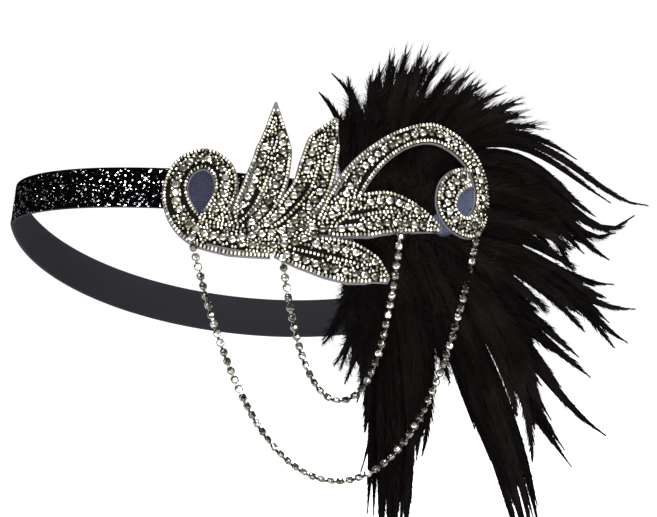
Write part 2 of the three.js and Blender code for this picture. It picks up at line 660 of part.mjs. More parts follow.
const materials = {
  glitter: new THREE.MeshStandardMaterial({ color: 0x0c0b0d, roughness: 0.6, metalness: 0.1 }),
  felt: new THREE.MeshStandardMaterial({ color: 0x8d8f99, roughness: 0.9, metalness: 0 }),
  beads: new THREE.MeshStandardMaterial({ color: 0xb9b5a2, roughness: 0.25, metalness: 0.7 }),
  chain: new THREE.MeshStandardMaterial({ color: 0xb4b2a6, roughness: 0.2, metalness: 0.9 }),
  feather: new THREE.MeshStandardMaterial({ color: 0x0b0a0b, roughness: 0.6, metalness: 0 }),
};

function node(name, geometry, material) {
  const mesh = new THREE.Mesh(geometry, material);
  mesh.name = name;
  return mesh;
}

const headband = new THREE.Group();
headband.add(worn);
worn.add(node("head_band", bandGeometry(), materials.glitter));
worn.add(node("applique_backing", bent(backingSolid()), materials.felt));
const order = ["centre_cluster", "left_scroll", "tall_leaf", "second_leaf", "arc_scroll", "right_leaf", "lower_leaf"];
order.forEach((name, i) => {
  const before = order.slice(0, i).map((other) => MOTIFS[other]);
  worn.add(node(name, bent(motifSolid(MOTIFS[name], before)), materials.beads));
});
for (const [name, chain] of Object.entries(CHAINS)) {
  headband.add(node(name, chainGeometry(chain), materials.chain));
}
headband.add(node("feather_plume", plumeGeometry(), materials.feather));
export default headband;
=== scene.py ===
"""Flapper feather headband: a glitter elastic loop, a beaded rhinestone applique, cup chains and a plume.

Every size is in metres in the row frame: +Z up as worn, -Y out of the front of the head, +X to the wearer's
left. The classes below each build one sub-assembly, and the finishes are procedural Cycles materials.
"""

import logging
import math
from dataclasses import dataclass, field
from enum import Enum
from typing import Dict, List, Optional, Sequence, Tuple

import bpy
import numpy as np
from mathutils import Matrix, Vector


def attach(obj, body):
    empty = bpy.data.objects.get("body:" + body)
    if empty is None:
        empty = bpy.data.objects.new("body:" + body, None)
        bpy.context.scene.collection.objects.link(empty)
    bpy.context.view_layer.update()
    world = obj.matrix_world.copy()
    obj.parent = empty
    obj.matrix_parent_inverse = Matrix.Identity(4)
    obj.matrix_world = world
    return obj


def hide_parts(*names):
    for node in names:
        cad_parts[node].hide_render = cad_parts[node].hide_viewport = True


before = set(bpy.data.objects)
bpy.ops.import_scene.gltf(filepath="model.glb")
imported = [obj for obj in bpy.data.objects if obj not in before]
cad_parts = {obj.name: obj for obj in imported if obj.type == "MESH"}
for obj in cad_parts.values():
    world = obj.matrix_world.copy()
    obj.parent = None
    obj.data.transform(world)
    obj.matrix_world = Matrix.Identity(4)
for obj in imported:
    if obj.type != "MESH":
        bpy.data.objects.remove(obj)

logging.basicConfig(level=logging.INFO, format="%(name)s: %(message)s")
log = logging.getLogger("headband")

MM = 0.001
Socket = bpy.types.NodeSocket


# Colour and node helpers


def srgb(text: str) -> Tuple[float, float, float, float]:
    """Turns an sRGB hex colour into the linear RGBA that Cycles wants.

    Args:
        text: six hex digits, such as "a9a9b5".

    Returns:
        Linear red, green, blue and an alpha of 1.
    """
    parts = [int(text[i : i + 2], 16) / 255 for i in (0, 2, 4)]
    linear = [c / 12.92 if c <= 0.04045 else ((c + 0.055) / 1.055) ** 2.4 for c in parts]
    return (linear[0], linear[1], linear[2], 1.0)


def add_node(
    tree: bpy.types.NodeTree, kind: str, inputs: Optional[Dict] = None, **settings
) -> bpy.types.Node:
    """Adds a node, sets its properties, and fills or links its inputs.

    Args:
        tree: the node tree that it goes in.
        kind: the node's type name.
        inputs: input name or index against a value, or against an output socket to link from.
        settings: properties of the node itself.

    Returns:
        The new node.
    """
    made = tree.nodes.new(kind)
    for name, value in settings.items():
        setattr(made, name, value)
    for key, value in (inputs or {}).items():
        socket = made.inputs[key]
        if isinstance(value, bpy.types.NodeSocket):
            tree.links.new(value, socket)
        else:
            socket.default_value = value
    return made


def worked_out(
    tree: bpy.types.NodeTree, operation: str, first: Socket | float, second: Socket | float
) -> Socket:
    """The result of a Math node on two values or sockets."""
    return add_node(tree, "ShaderNodeMath", {0: first, 1: second}, operation=operation).outputs[0]


def blend(tree: bpy.types.NodeTree, share: Socket, low: str, high: str) -> Socket:
    """The colour that goes from one sRGB hex colour to another as a share goes from 0 to 1."""
    mixed = add_node(tree, "ShaderNodeMix", {"Factor": share, 6: srgb(low), 7: srgb(high)}, data_type="RGBA")
    return mixed.outputs[2]


class Relief(Enum):
    """Named bump strengths, as the height in metres that a texture's full range stands for."""

    FAINT = 0.00003
    CLOTH = 0.00012


# Finishes


@dataclass(frozen=True)
class Finish:
    """A procedural material with its own shading recipe.

    Args:
        name: the material's name.
        colour: the main sRGB colour.
        roughness: microfacet roughness.
        metallic: 0 for cloth and glass, 1 for metal and foil.
    """

    name: str
    colour: str
    roughness: float = 0.5
    metallic: float = 0.0

    def build(self) -> bpy.types.Material:
        """Makes the material, or returns it if it is already there."""
        found = bpy.data.materials.get(self.name)
        if found:
            return found
        material = bpy.data.materials.new(self.name)
        material.use_nodes = True
        tree = material.node_tree
        shader = tree.nodes["Principled BSDF"]
        shader.inputs["Base Color"].default_value = srgb(self.colour)
        shader.inputs["Roughness"].default_value = self.roughness
        shader.inputs["Metallic"].default_value = self.metallic
        self.detail(tree, shader)
        return material

    def detail(self, tree: bpy.types.NodeTree, shader: bpy.types.Node) -> None:
        """Adds what makes this finish more than a plain colour."""

    @staticmethod
    def place(tree: bpy.types.NodeTree) -> Socket:
        """The shading point in metres in the object's own frame."""
        return add_node(tree, "ShaderNodeTexCoord").outputs["Object"]

    @staticmethod
    def bump(tree: bpy.types.NodeTree, shader: bpy.types.Node, height: Socket, relief: Relief) -> None:
        """Drives the shader's normal from a height between 0 and 1."""
        made = add_node(tree, "ShaderNodeBump", {"Height": height, "Distance": relief.value, "Strength": 1.0})
        tree.links.new(made.outputs["Normal"], shader.inputs["Normal"])


@dataclass(frozen=True)
class GlitterCloth(Finish):
    """Black elastic knit with silver glitter printed on it.

    Args:
        flake: sRGB colour of the glitter.
        grain: cells of glitter to the metre.
        share: share of the cells that catch the light.
    """

    flake: str = "d9d9dc"
    grain: float = 1500.0
    share: float = 0.05

    def detail(self, tree: bpy.types.NodeTree, shader: bpy.types.Node) -> None:
        place = self.place(tree)
        cells = add_node(tree, "ShaderNodeTexVoronoi", {"Vector": place, "Scale": self.grain})
        value = add_node(tree, "ShaderNodeSeparateColor", {"Color": cells.outputs["Color"]})
        patch = add_node(tree, "ShaderNodeTexNoise", {"Vector": place, "Scale": 160.0, "Detail": 3.0})
        level = add_node(
            tree, "ShaderNodeMapRange",
            {
                "Value": patch.outputs["Fac"], "From Min": 0.35, "From Max": 0.65,
                "To Min": 1 - 0.4 * self.share, "To Max": 1 - 1.6 * self.share,
            },
        )
        bright = worked_out(tree, "GREATER_THAN", value.outputs["Red"], level.outputs["Result"])
        tree.links.new(blend(tree, bright, self.colour, self.flake), shader.inputs["Base Color"])
        tree.links.new(bright, shader.inputs["Metallic"])
        rough = add_node(tree, "ShaderNodeMapRange", {"Value": bright, "To Min": 0.75, "To Max": 0.22})
        tree.links.new(rough.outputs["Result"], shader.inputs["Roughness"])
        self.bump(tree, shader, value.outputs["Green"], Relief.FAINT)
        shader.inputs["IOR"].default_value = 1.0


@dataclass(frozen=True)
class Weave(Finish):
    """Woven or knitted cloth with two crossing sets of threads.

    Args:
        threads: threads to the metre.
        second: sRGB colour that the dips between the threads go to.
        sheen: uniform sheen weight.
        speckle_and_sheen: strength of a fine random mottling, real speckle in the felt cloths and painted sheen
            and shade in the satin.
        relief: bump strength.
        gloss: uniform specular level.
    """

    threads: float = 2500.0
    second: str = "303036"
    sheen: float = 0.2
    speckle_and_sheen: float = 0.3
    relief: Relief = Relief.FAINT
    gloss: float = 0.1

    def detail(self, tree: bpy.types.NodeTree, shader: bpy.types.Node) -> None:
        place = self.place(tree)
        waves = []
        for axis in ("X", "Z"):
            wave = add_node(
                tree, "ShaderNodeTexWave",
                {"Vector": place, "Scale": self.threads * 0.314, "Distortion": 1.2, "Detail": 1.0},
                bands_direction=axis,
            )
            waves.append(wave.outputs["Fac"])
        crossed = worked_out(tree, "MULTIPLY", waves[0], waves[1])
        noise = {"Vector": place, "Scale": self.threads / 2, "Detail": 4.0}
        grit = add_node(tree, "ShaderNodeTexNoise", noise).outputs["Fac"]
        total = worked_out(tree, "ADD", crossed, worked_out(tree, "MULTIPLY", grit, self.speckle_and_sheen))
        tree.links.new(blend(tree, total, self.second, self.colour), shader.inputs["Base Color"])
        shader.inputs["Sheen Weight"].default_value = self.sheen
        shader.inputs["Specular IOR Level"].default_value = self.gloss
        shader.inputs["IOR"].default_value = 1.3
        self.bump(tree, shader, total, self.relief)


@dataclass(frozen=True)
class CutGlass(Finish):
    """Foil backed glass: each stone has its own tint, from the attribute that its instancer stores, and its
    colour also goes from near black to near white with each facet's direction, as painted reflections and painted
    shade.

    Args:
        dark_tone_and_shade: sRGB colour of the deepest stones, and of facets in painted shade.
        pale_tone_and_glint: sRGB colour of the lightest stones, and of facets with painted glints.
        coat: weight of the clear glass over the foil.
        facets: how quickly the painted reflection changes from one facet's direction to the next.
    """

    dark_tone_and_shade: str = "4a4838"
    pale_tone_and_glint: str = "f2f0e4"
    coat: float = 1.0
    facets: float = 6.0

    def detail(self, tree: bpy.types.NodeTree, shader: bpy.types.Node) -> None:
        tint = add_node(tree, "ShaderNodeAttribute", attribute_name="tint")
        facet = add_node(tree, "ShaderNodeNewGeometry")
        # Noise on the facet's direction: painted reflections and shade that change from facet to facet.
        turned = add_node(
            tree, "ShaderNodeTexNoise",
            {"Vector": facet.outputs["Normal"], "Scale": self.facets, "Detail": 1.0},
        )
        both = worked_out(tree, "ADD", tint.outputs["Fac"], turned.outputs["Fac"])
        spread = add_node(tree, "ShaderNodeMapRange", {"Value": both, "From Min": 0.45, "From Max": 1.45})
        ramp = add_node(tree, "ShaderNodeValToRGB", {"Fac": spread.outputs["Result"]})
        ramp.color_ramp.elements[0].color = srgb(self.dark_tone_and_shade)
        ramp.color_ramp.elements[1].color = srgb(self.pale_tone_and_glint)
        middle = ramp.color_ramp.elements.new(0.55)
        middle.color = srgb(self.colour)
        tree.links.new(ramp.outputs["Color"], shader.inputs["Base Color"])
        shader.inputs["Coat Weight"].default_value = self.coat
        shader.inputs["Coat Roughness"].default_value = 0.03


@dataclass(frozen=True)
class Silver(Finish):
    """Silver plate or foil lined bead, with faint handling marks.

    Args:
        worn: sRGB colour that the marks go to.
        coat: weight of clear glass over it.
    """

    worn: str = "6f6c60"
    coat: float = 0.0

    def detail(self, tree: bpy.types.NodeTree, shader: bpy.types.Node) -> None:
        noise = {"Vector": self.place(tree), "Scale": 700.0, "Detail": 3.0}
        marks = add_node(tree, "ShaderNodeTexNoise", noise)
        ramp = add_node(tree, "ShaderNodeValToRGB", {"Fac": marks.outputs["Fac"]})
        ramp.color_ramp.elements[0].position = 0.38
        ramp.color_ramp.elements[0].color = srgb(self.worn)
        ramp.color_ramp.elements[1].position = 0.6
        ramp.color_ramp.elements[1].color = srgb(self.colour)
        tree.links.new(ramp.outputs["Color"], shader.inputs["Base Color"])
        shader.inputs["Coat Weight"].default_value = self.coat


@dataclass(frozen=True)
class Plumage(Finish):
    """Dyed feather barbs, with painted highlights: a paler colour on some barbs, varying at random from barb to
    barb.

    Args:
        lift: sRGB colour of the palest barbs, a painted highlight.
        sheen: uniform sheen weight.
        gloss: uniform specular level.
    """

    lift: str = "211d1c"
    sheen: float = 0.0
    gloss: float = 0.02

    def detail(self, tree: bpy.types.NodeTree, shader: bpy.types.Node) -> None:
        tint = add_node(tree, "ShaderNodeAttribute", attribute_name="tint")
        noise = {"Vector": self.place(tree), "Scale": 60.0, "Detail": 3.0}
        patch = add_node(tree, "ShaderNodeTexNoise", noise)
        both = worked_out(tree, "MULTIPLY", tint.outputs["Fac"], patch.outputs["Fac"])
        tree.links.new(blend(tree, both, self.colour, self.lift), shader.inputs["Base Color"])
        shader.inputs["Sheen Weight"].default_value = self.sheen
        shader.inputs["Sheen Roughness"].default_value = 0.4
        shader.inputs["IOR"].default_value = 1.2
        shader.inputs["Specular IOR Level"].default_value = self.gloss


class Finishes:
    """The headband's finishes, by the real material that each one stands for, and one near-black cloth that is
    painted shade under the beads.
    """

    ELASTIC_OUTSIDE = GlitterCloth("elastic_outside", "020203", roughness=0.8)
    ELASTIC_INSIDE = Weave(
        "elastic_inside", "28282d", 0.8, second="202024", threads=2200.0, sheen=0.0, gloss=0.05
    )
    ORGANZA = Weave("backing_organza", "6e6d70", 0.5, second="3a3a3e", threads=3200.0, sheen=0.05, gloss=0.3)
    # Near-black top of each motif's plate under its beads: painted shade between the beads, not a real cloth of
    # the headband.
    BEAD_SHADE_CLOTH = Weave("painted_shade_under_beads", "131310", roughness=0.8, second="070706", threads=2400.0, sheen=0.0)
    FELT = Weave(
        "backing_felt", "22232b", 0.9, second="101118", threads=1500.0, speckle_and_sheen=1.0, relief=Relief.CLOTH
    )
    NAVY_CLOTH = Weave(
        "teardrop_cloth", "232536", 0.7, second="020207", threads=900.0, speckle_and_sheen=1.2, relief=Relief.CLOTH
    )
    # Satin: its wide mottling from near black to blue grey stands in for the satin's sheen, as painted highlights
    # and painted shade.
    SATIN = Weave(
        "teardrop_satin", "3e4458", 0.45, second="080a10", threads=900.0, sheen=0.1, speckle_and_sheen=1.1, gloss=0.2
    )
    # Smoky stones: tone varies from stone to stone, and goes near black to near white by facet direction as
    # painted reflections and shade.
    STONE = CutGlass("smoky_rhinestone", "a39f8b", 0.06, 0.9, dark_tone_and_shade="15140f", pale_tone_and_glint="fffdf2")
    # Clear chain stones: the same painted reflections and shade by facet direction.
    CHAIN_STONE = CutGlass("clear_rhinestone", "76746b", 0.05, 0.9, dark_tone_and_shade="0b0a09", pale_tone_and_glint="fbfaf5")
    # Settings: colour and marks go deep grey to near black so that a ring shows round each stone: patina, and
    # painted shade of the gap round the stone.
    SETTING = Silver("patina_and_shade_setting", "5c594f", roughness=0.25, metallic=1.0, worn="0c0b09")
    CHAIN_CUP = Silver("oxidised_cup", "7e7b72", roughness=0.22, metallic=1.0, worn="11100e")
    # Seed beads: a random tone per bead, and a colour that changes across each smooth bead with its surface
    # direction, as painted shade on its sides and painted highlights.
    BEAD = CutGlass(
        "silver_lined_bead", "b3ae98", 0.16, 0.85, dark_tone_and_shade="35332a", pale_tone_and_glint="fffcee", coat=0.7, facets=2.0
    )
    CUP = Silver("silver_plated_cup", "c9c7c0", roughness=0.2, metallic=1.0, worn="54524c")
    # Near-black barbs, with the paler lift colour on some of them as painted highlights.
    FEATHER = Plumage("black_feather", "040303", roughness=0.65)
    PAD = Finish("plume_pad", "070707", roughness=0.9)


# Mesh helpers


def mesh_object(
    name: str,
    places: np.ndarray,
    faces: Sequence[Sequence[int]],
    finishes: Sequence[Finish],
    slots: Optional[np.ndarray] = None,
    smooth: bool = False,
) -> bpy.types.Object:
    """Makes an object at the origin from places in the row frame.

    Args:
        name: the object's name.
        places: N by 3 places in metres.
        faces: corner numbers of each face.
        finishes: one finish for each material slot.
        slots: slot number of each face, or None for the first.
        smooth: whether the faces are shaded smooth.

    Returns:
        The new object, in the scene.
    """
    mesh = bpy.data.meshes.new(name)
    mesh.from_pydata(np.asarray(places).tolist(), [], [list(f) for f in faces])
    for finish in finishes:
        mesh.materials.append(finish.build())
    if slots is not None:
        mesh.polygons.foreach_set("material_index", np.asarray(slots, dtype=np.int32))
    mesh.polygons.foreach_set("use_smooth", np.full(len(mesh.polygons), smooth))
    mesh.update()
    made = bpy.data.objects.new(name, mesh)
    bpy.context.scene.collection.objects.link(made)
    return made


def tube_faces(rings: int, sides: int) -> List[List[int]]:
    """Faces of a closed tube through rings of the same number of corners."""
    faces = [
        [r * sides + k, r * sides + (k + 1) % sides, (r + 1) * sides + (k + 1) % sides, (r + 1) * sides + k]
        for r in range(rings - 1)
        for k in range(sides)
    ]
    faces.append(list(range(sides))[::-1])
    faces.append([(rings - 1) * sides + k for k in range(sides)])
    return faces


def ribbon_faces(steps: int) -> np.ndarray:
    """Corner numbers of a ribbon's triangles, one after another, from its two edges' places in turn."""
    corners = [(2 * k, 2 * k + 1, 2 * k + 3, 2 * k, 2 * k + 3, 2 * k + 2) for k in range(steps)]
    return np.array(corners).reshape(-1)


def in_units(rows: np.ndarray) -> np.ndarray:
    """Directions along the last axis, made 1 long."""
    return rows / np.maximum(np.linalg.norm(rows, axis=-1, keepdims=True), 1e-9)


def report(piece: bpy.types.Object, *nodes: str) -> bpy.types.Object:
    """Rides a piece on the frame, lets it stand for CAD nodes, and logs it."""
    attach(piece, "root")
    if nodes:
        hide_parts(*nodes)
    mesh = piece.data
    mesh.calc_loop_triangles()
    purpose = f", for {', '.join(nodes)}" if nodes else ""
    log.info("%s: %d triangles%s", piece.name, len(mesh.loop_triangles), purpose)
    return piece


# The loop, and the bending of flat work round its front


@dataclass
class Loop:
    """The head loop's centre line, and the worn turn of the whole headband.

    Args:
        width: across the loop.
        front: depth of the half in front of its widest line.
        back: depth of the half behind.
        band: the band's width.
        thick: the band's thickness.
        tilt: how far the back sits lower, in degrees.
        roll: how far the plume's side sits lower, in degrees.
        gap: clearance between layers.
        pad: thickness of the plume's pad.
        backing: thickness of the applique's backing.
        beads: height of the beadwork on it.
        pad_from: where the pad starts along the band, from the middle of the front.
        rise: how far the applique's middle sits above the band's.
    """

    width: float = 208 * MM
    front: float = 36 * MM
    back: float = 102 * MM
    band: float = 19 * MM
    thick: float = 1.5 * MM
    tilt: float = 24.0
    roll: float = 5.4
    gap: float = 0.3 * MM
    pad: float = 2.2 * MM
    backing: float = 1.2 * MM
    beads: float = 1.5 * MM
    pad_from: float = 0.27 * 150 * MM
    rise: float = 1.6 * MM
    table: np.ndarray = field(init=False)
    worn: Matrix = field(init=False)

    def __post_init__(self) -> None:
        angles = np.linspace(-math.pi, 0, 1441)
        offset = self.thick / 2 + 2 * self.gap + self.pad + self.backing + self.beads
        spots = self.at(angles, offset)
        steps = np.linalg.norm(np.diff(spots, axis=0), axis=1)
        along = np.concatenate([[0.0], np.cumsum(steps)])
        self.table = np.stack([along - along[720], angles], axis=1)
        tilt = Matrix.Rotation(-math.radians(self.tilt), 4, "X")
        self.worn = Matrix.Rotation(math.radians(self.roll), 4, "Y") @ tilt

    def at(self, angle: np.ndarray, offset: float | np.ndarray = 0.0) -> np.ndarray:
        """Places on the loop, offset outwards. Angle 0 is the wearer's left and -90 degrees the front."""
        angle = np.asarray(angle, float)
        depth = np.where(np.sin(angle) < 0, self.front, self.back)
        out = np.stack([depth * np.cos(angle), self.width / 2 * np.sin(angle)], axis=-1)
        out /= np.linalg.norm(out, axis=-1, keepdims=True)
        line = np.stack([self.width / 2 * np.cos(angle), depth * np.sin(angle)], axis=-1)
        return line + np.asarray(offset)[..., None] * out

    def turn(self, places: np.ndarray) -> np.ndarray:
        """Turns places or directions from the loop's own frame to the worn one."""
        return np.asarray(places) @ np.array(self.worn.to_3x3()).T

    def bend(self, flat: np.ndarray) -> np.ndarray:
        """Bends flat places round the front of the loop and turns them to the worn frame.

        Args:
            flat: N by 3: along the band from the middle of the front, up it, and out from the backing's rear.

        Returns:
            N by 3 places in the row frame.
        """
        flat = np.atleast_2d(flat)
        angle = np.interp(flat[:, 0], self.table[:, 0], self.table[:, 1])
        share = np.clip(flat[:, 0] / (self.pad_from * 0.9), 0, 1)
        share = share * share * (3 - 2 * share)
        stand = self.thick / 2 + self.gap + share * (self.pad + self.gap)
        spots = self.at(angle, stand + flat[:, 2])
        return self.turn(np.column_stack([spots, flat[:, 1] + self.rise]))

    def facing(self, flat: np.ndarray) -> np.ndarray:
        """Outward directions of the bent surface at flat places."""
        step = 1e-4
        flat = np.atleast_2d(flat)
        out = self.bend(flat + [0, 0, step]) - self.bend(flat)
        return out / np.linalg.norm(out, axis=1, keepdims=True)


# Geometry Nodes that place one thing many times


@dataclass
class Scatter:
    """Places copies of a small object on points, each turned to its point's normal and given its own tint.

    Args:
        name: the node group's name.
        item: the object that is copied.
        finish: the material of the copies.
        seed: fixed seed of the tints and of the spin.
        spin: whether each copy is spun about its own axis.
    """

    name: str
    item: bpy.types.Object
    finish: Finish
    seed: int
    spin: bool = True

    def group(self) -> bpy.types.NodeTree:
        """Builds the node group, with its object, size, seed and material as named inputs."""
        tree = bpy.data.node_groups.new(self.name, "GeometryNodeTree")
        sockets = {
            "Geometry": "Geometry", "Item": "Object", "Size": "Float", "Spin": "Float", "Seed": "Int",
            "Finish": "Material",
        }
        for label, kind in sockets.items():
            tree.interface.new_socket(label, in_out="INPUT", socket_type=f"NodeSocket{kind}")
        tree.interface.new_socket("Geometry", in_out="OUTPUT", socket_type="NodeSocketGeometry")
        given = add_node(tree, "NodeGroupInput").outputs
        item = add_node(tree, "GeometryNodeObjectInfo", {"Object": given["Item"]})
        out = add_node(tree, "GeometryNodeInputNamedAttribute", {"Name": "facing"}, data_type="FLOAT_VECTOR")
        along = add_node(tree, "GeometryNodeInputNamedAttribute", {"Name": "along"}, data_type="FLOAT_VECTOR")
        share = add_node(tree, "GeometryNodeInputNamedAttribute", {"Name": "share"}, data_type="FLOAT")
        turned = add_node(tree, "FunctionNodeAlignRotationToVector", {"Vector": out.outputs[0]}, axis="Z")
        aligned = add_node(
            tree, "FunctionNodeAlignRotationToVector",
            {"Rotation": turned.outputs[0], "Vector": along.outputs[0]}, axis="X", pivot_axis="Z",
        )
        angle = add_node(
            tree, "FunctionNodeRandomValue",
            {2: 0.0, 3: given["Spin"], "Seed": given["Seed"]}, data_type="FLOAT",
        )
        turn = {"Axis": (0, 0, 1), "Angle": angle.outputs[1]}
        about = add_node(tree, "FunctionNodeAxisAngleToRotation", turn)
        spun = add_node(
            tree, "FunctionNodeRotateRotation",
            {0: aligned.outputs[0], 1: about.outputs[0]}, rotation_space="LOCAL",
        )
        size = worked_out(tree, "MULTIPLY", share.outputs[0], given["Size"])
        copies = add_node(
            tree, "GeometryNodeInstanceOnPoints",
            {
                "Points": given["Geometry"], "Instance": item.outputs["Geometry"],
                "Rotation": spun.outputs[0], "Scale": size,
            },
        )
        chance = {2: 0.0, 3: 1.0, "Seed": given["Seed"]}
        tint = add_node(tree, "FunctionNodeRandomValue", chance, data_type="FLOAT")
        kept = add_node(
            tree, "GeometryNodeStoreNamedAttribute",
            {"Geometry": copies.outputs[0], "Name": "tint", "Value": tint.outputs[1]},
            data_type="FLOAT", domain="INSTANCE",
        )
        real = add_node(tree, "GeometryNodeRealizeInstances", {"Geometry": kept.outputs[0]})
        coat = {"Geometry": real.outputs[0], "Material": given["Finish"]}
        dressed = add_node(tree, "GeometryNodeSetMaterial", coat)
        add_node(tree, "NodeGroupOutput", {"Geometry": dressed.outputs[0]})
        return tree

    def over(
        self, name: str, places: np.ndarray, facing: np.ndarray, along: np.ndarray, share: np.ndarray
    ) -> bpy.types.Object:
        """Copies the item over points and returns the result as a plain mesh object.

        Args:
            name: the new object's name.
            places: N by 3 points in metres.
            facing: N by 3 directions for the item's Z.
            along: N by 3 directions for the item's X.
            share: N sizes, as shares of the item's own.
        """
        mesh = bpy.data.meshes.new(name)
        mesh.from_pydata(np.asarray(places).tolist(), [], [])
        for label, values in (("facing", facing), ("along", along)):
            made = mesh.attributes.new(label, "FLOAT_VECTOR", "POINT")
            made.data.foreach_set("vector", np.ascontiguousarray(values, dtype=np.float32).ravel())
        sizes = mesh.attributes.new("share", "FLOAT", "POINT")
        sizes.data.foreach_set("value", np.asarray(share, dtype=np.float32))
        points = bpy.data.objects.new(name + "_points", mesh)
        bpy.context.scene.collection.objects.link(points)
        modifier = points.modifiers.new(self.name, "NODES")
        modifier.node_group = bpy.data.node_groups.get(self.name) or self.group()
        given = {
            "Item": self.item, "Size": 1.0, "Spin": 2 * math.pi if self.spin else 0.0,
            "Seed": self.seed, "Finish": self.finish.build(),
        }
        for socket in modifier.node_group.interface.items_tree:
            if socket.in_out == "INPUT" and socket.name in given:
                modifier[socket.identifier] = given[socket.name]
        graph = bpy.context.evaluated_depsgraph_get()
        graph.update()
        solid = bpy.data.meshes.new_from_object(points.evaluated_get(graph))
        bpy.data.objects.remove(points)
        result = bpy.data.objects.new(name, solid)
        bpy.context.scene.collection.objects.link(result)
        return result


class Parts:
    """The small repeated things, each modelled once with a diameter of 1 mm and kept out of the render."""

    @staticmethod
    def hidden(item: bpy.types.Object) -> bpy.types.Object:
        """Takes an item out of the scene but keeps it to be copied."""
        bpy.context.scene.collection.objects.unlink(item)
        return item

    @staticmethod
    def ring(radius: float, height: float, sides: int) -> List[Tuple[float, float, float]]:
        """A level ring of corners, from a radius and a height in millimetres."""
        turns = [2 * math.pi * k / sides for k in range(sides)]
        return [(radius * MM * math.cos(turn), radius * MM * math.sin(turn), height * MM) for turn in turns]

    @staticmethod
    def stone() -> bpy.types.Object:
        """A chaton 1 mm across: table, two rows of crown facets, girdle."""
        profile = [(0.44, -0.02), (0.5, 0.06), (0.5, 0.1), (0.42, 0.22), (0.24, 0.32)]
        places = [spot for radius, height in profile for spot in Parts.ring(radius, height, 8)]
        item = mesh_object("stone_item", np.array(places), tube_faces(len(profile), 8), [Finishes.STONE])
        return Parts.hidden(item)

    @staticmethod
    def setting() -> bpy.types.Object:
        """A pierced metal setting round a 1 mm stone, with four claws."""
        steps, places, faces = 24, [], []
        for ring, (radius, low, high) in enumerate([(0.5, -0.06, 0.14), (0.58, -0.06, 0.14)]):
            for k in range(steps):
                angle = 2 * math.pi * k / steps
                claw = 0.1 if k % 6 < 2 else 0.0
                reach = radius - (0.09 if claw and ring == 0 else 0.0)
                x, y = math.cos(angle) * MM, math.sin(angle) * MM
                places += [(radius * x, radius * y, low * MM), (reach * x, reach * y, (high + claw) * MM)]
        count = 2 * steps
        for k in range(steps):
            n = (k + 1) % steps
            a, b, c, d = 2 * k, 2 * k + 1, 2 * n, 2 * n + 1
            e, f, g, h = (count + corner for corner in (a, b, c, d))
            faces += [[c, a, b, d], [e, g, h, f], [b, f, h, d], [a, c, g, e]]
        return Parts.hidden(mesh_object("setting_item", np.array(places), faces, [Finishes.SETTING]))

    @staticmethod
    def bead() -> bpy.types.Object:
        """A seed bead 1 mm across, lying with its hole along X."""
        rings, sides, places = 8, 10, []
        for i in range(rings):
            turn = 2 * math.pi * i / rings
            radius, height = 0.31 + 0.19 * math.cos(turn), 0.34 * math.sin(turn)
            for k in range(sides):
                angle = 2 * math.pi * k / sides
                places.append((height * MM, radius * MM * math.cos(angle), radius * MM * math.sin(angle)))
        faces = []
        for i in range(rings):
            for k in range(sides):
                j, n = (i + 1) % rings, (k + 1) % sides
                faces.append([i * sides + k, j * sides + k, j * sides + n, i * sides + n])
        return Parts.hidden(mesh_object("bead_item", np.array(places), faces, [Finishes.BEAD], smooth=True))

    @staticmethod
    def flake() -> bpy.types.Object:
        """A six sided flake of glitter 1 mm across."""
        places = np.array(Parts.ring(0.5, 0.0, 6))
        return Parts.hidden(mesh_object("flake_item", places, [[0, 1, 2, 3, 4, 5]], [Finishes.CUP]))


# Head band


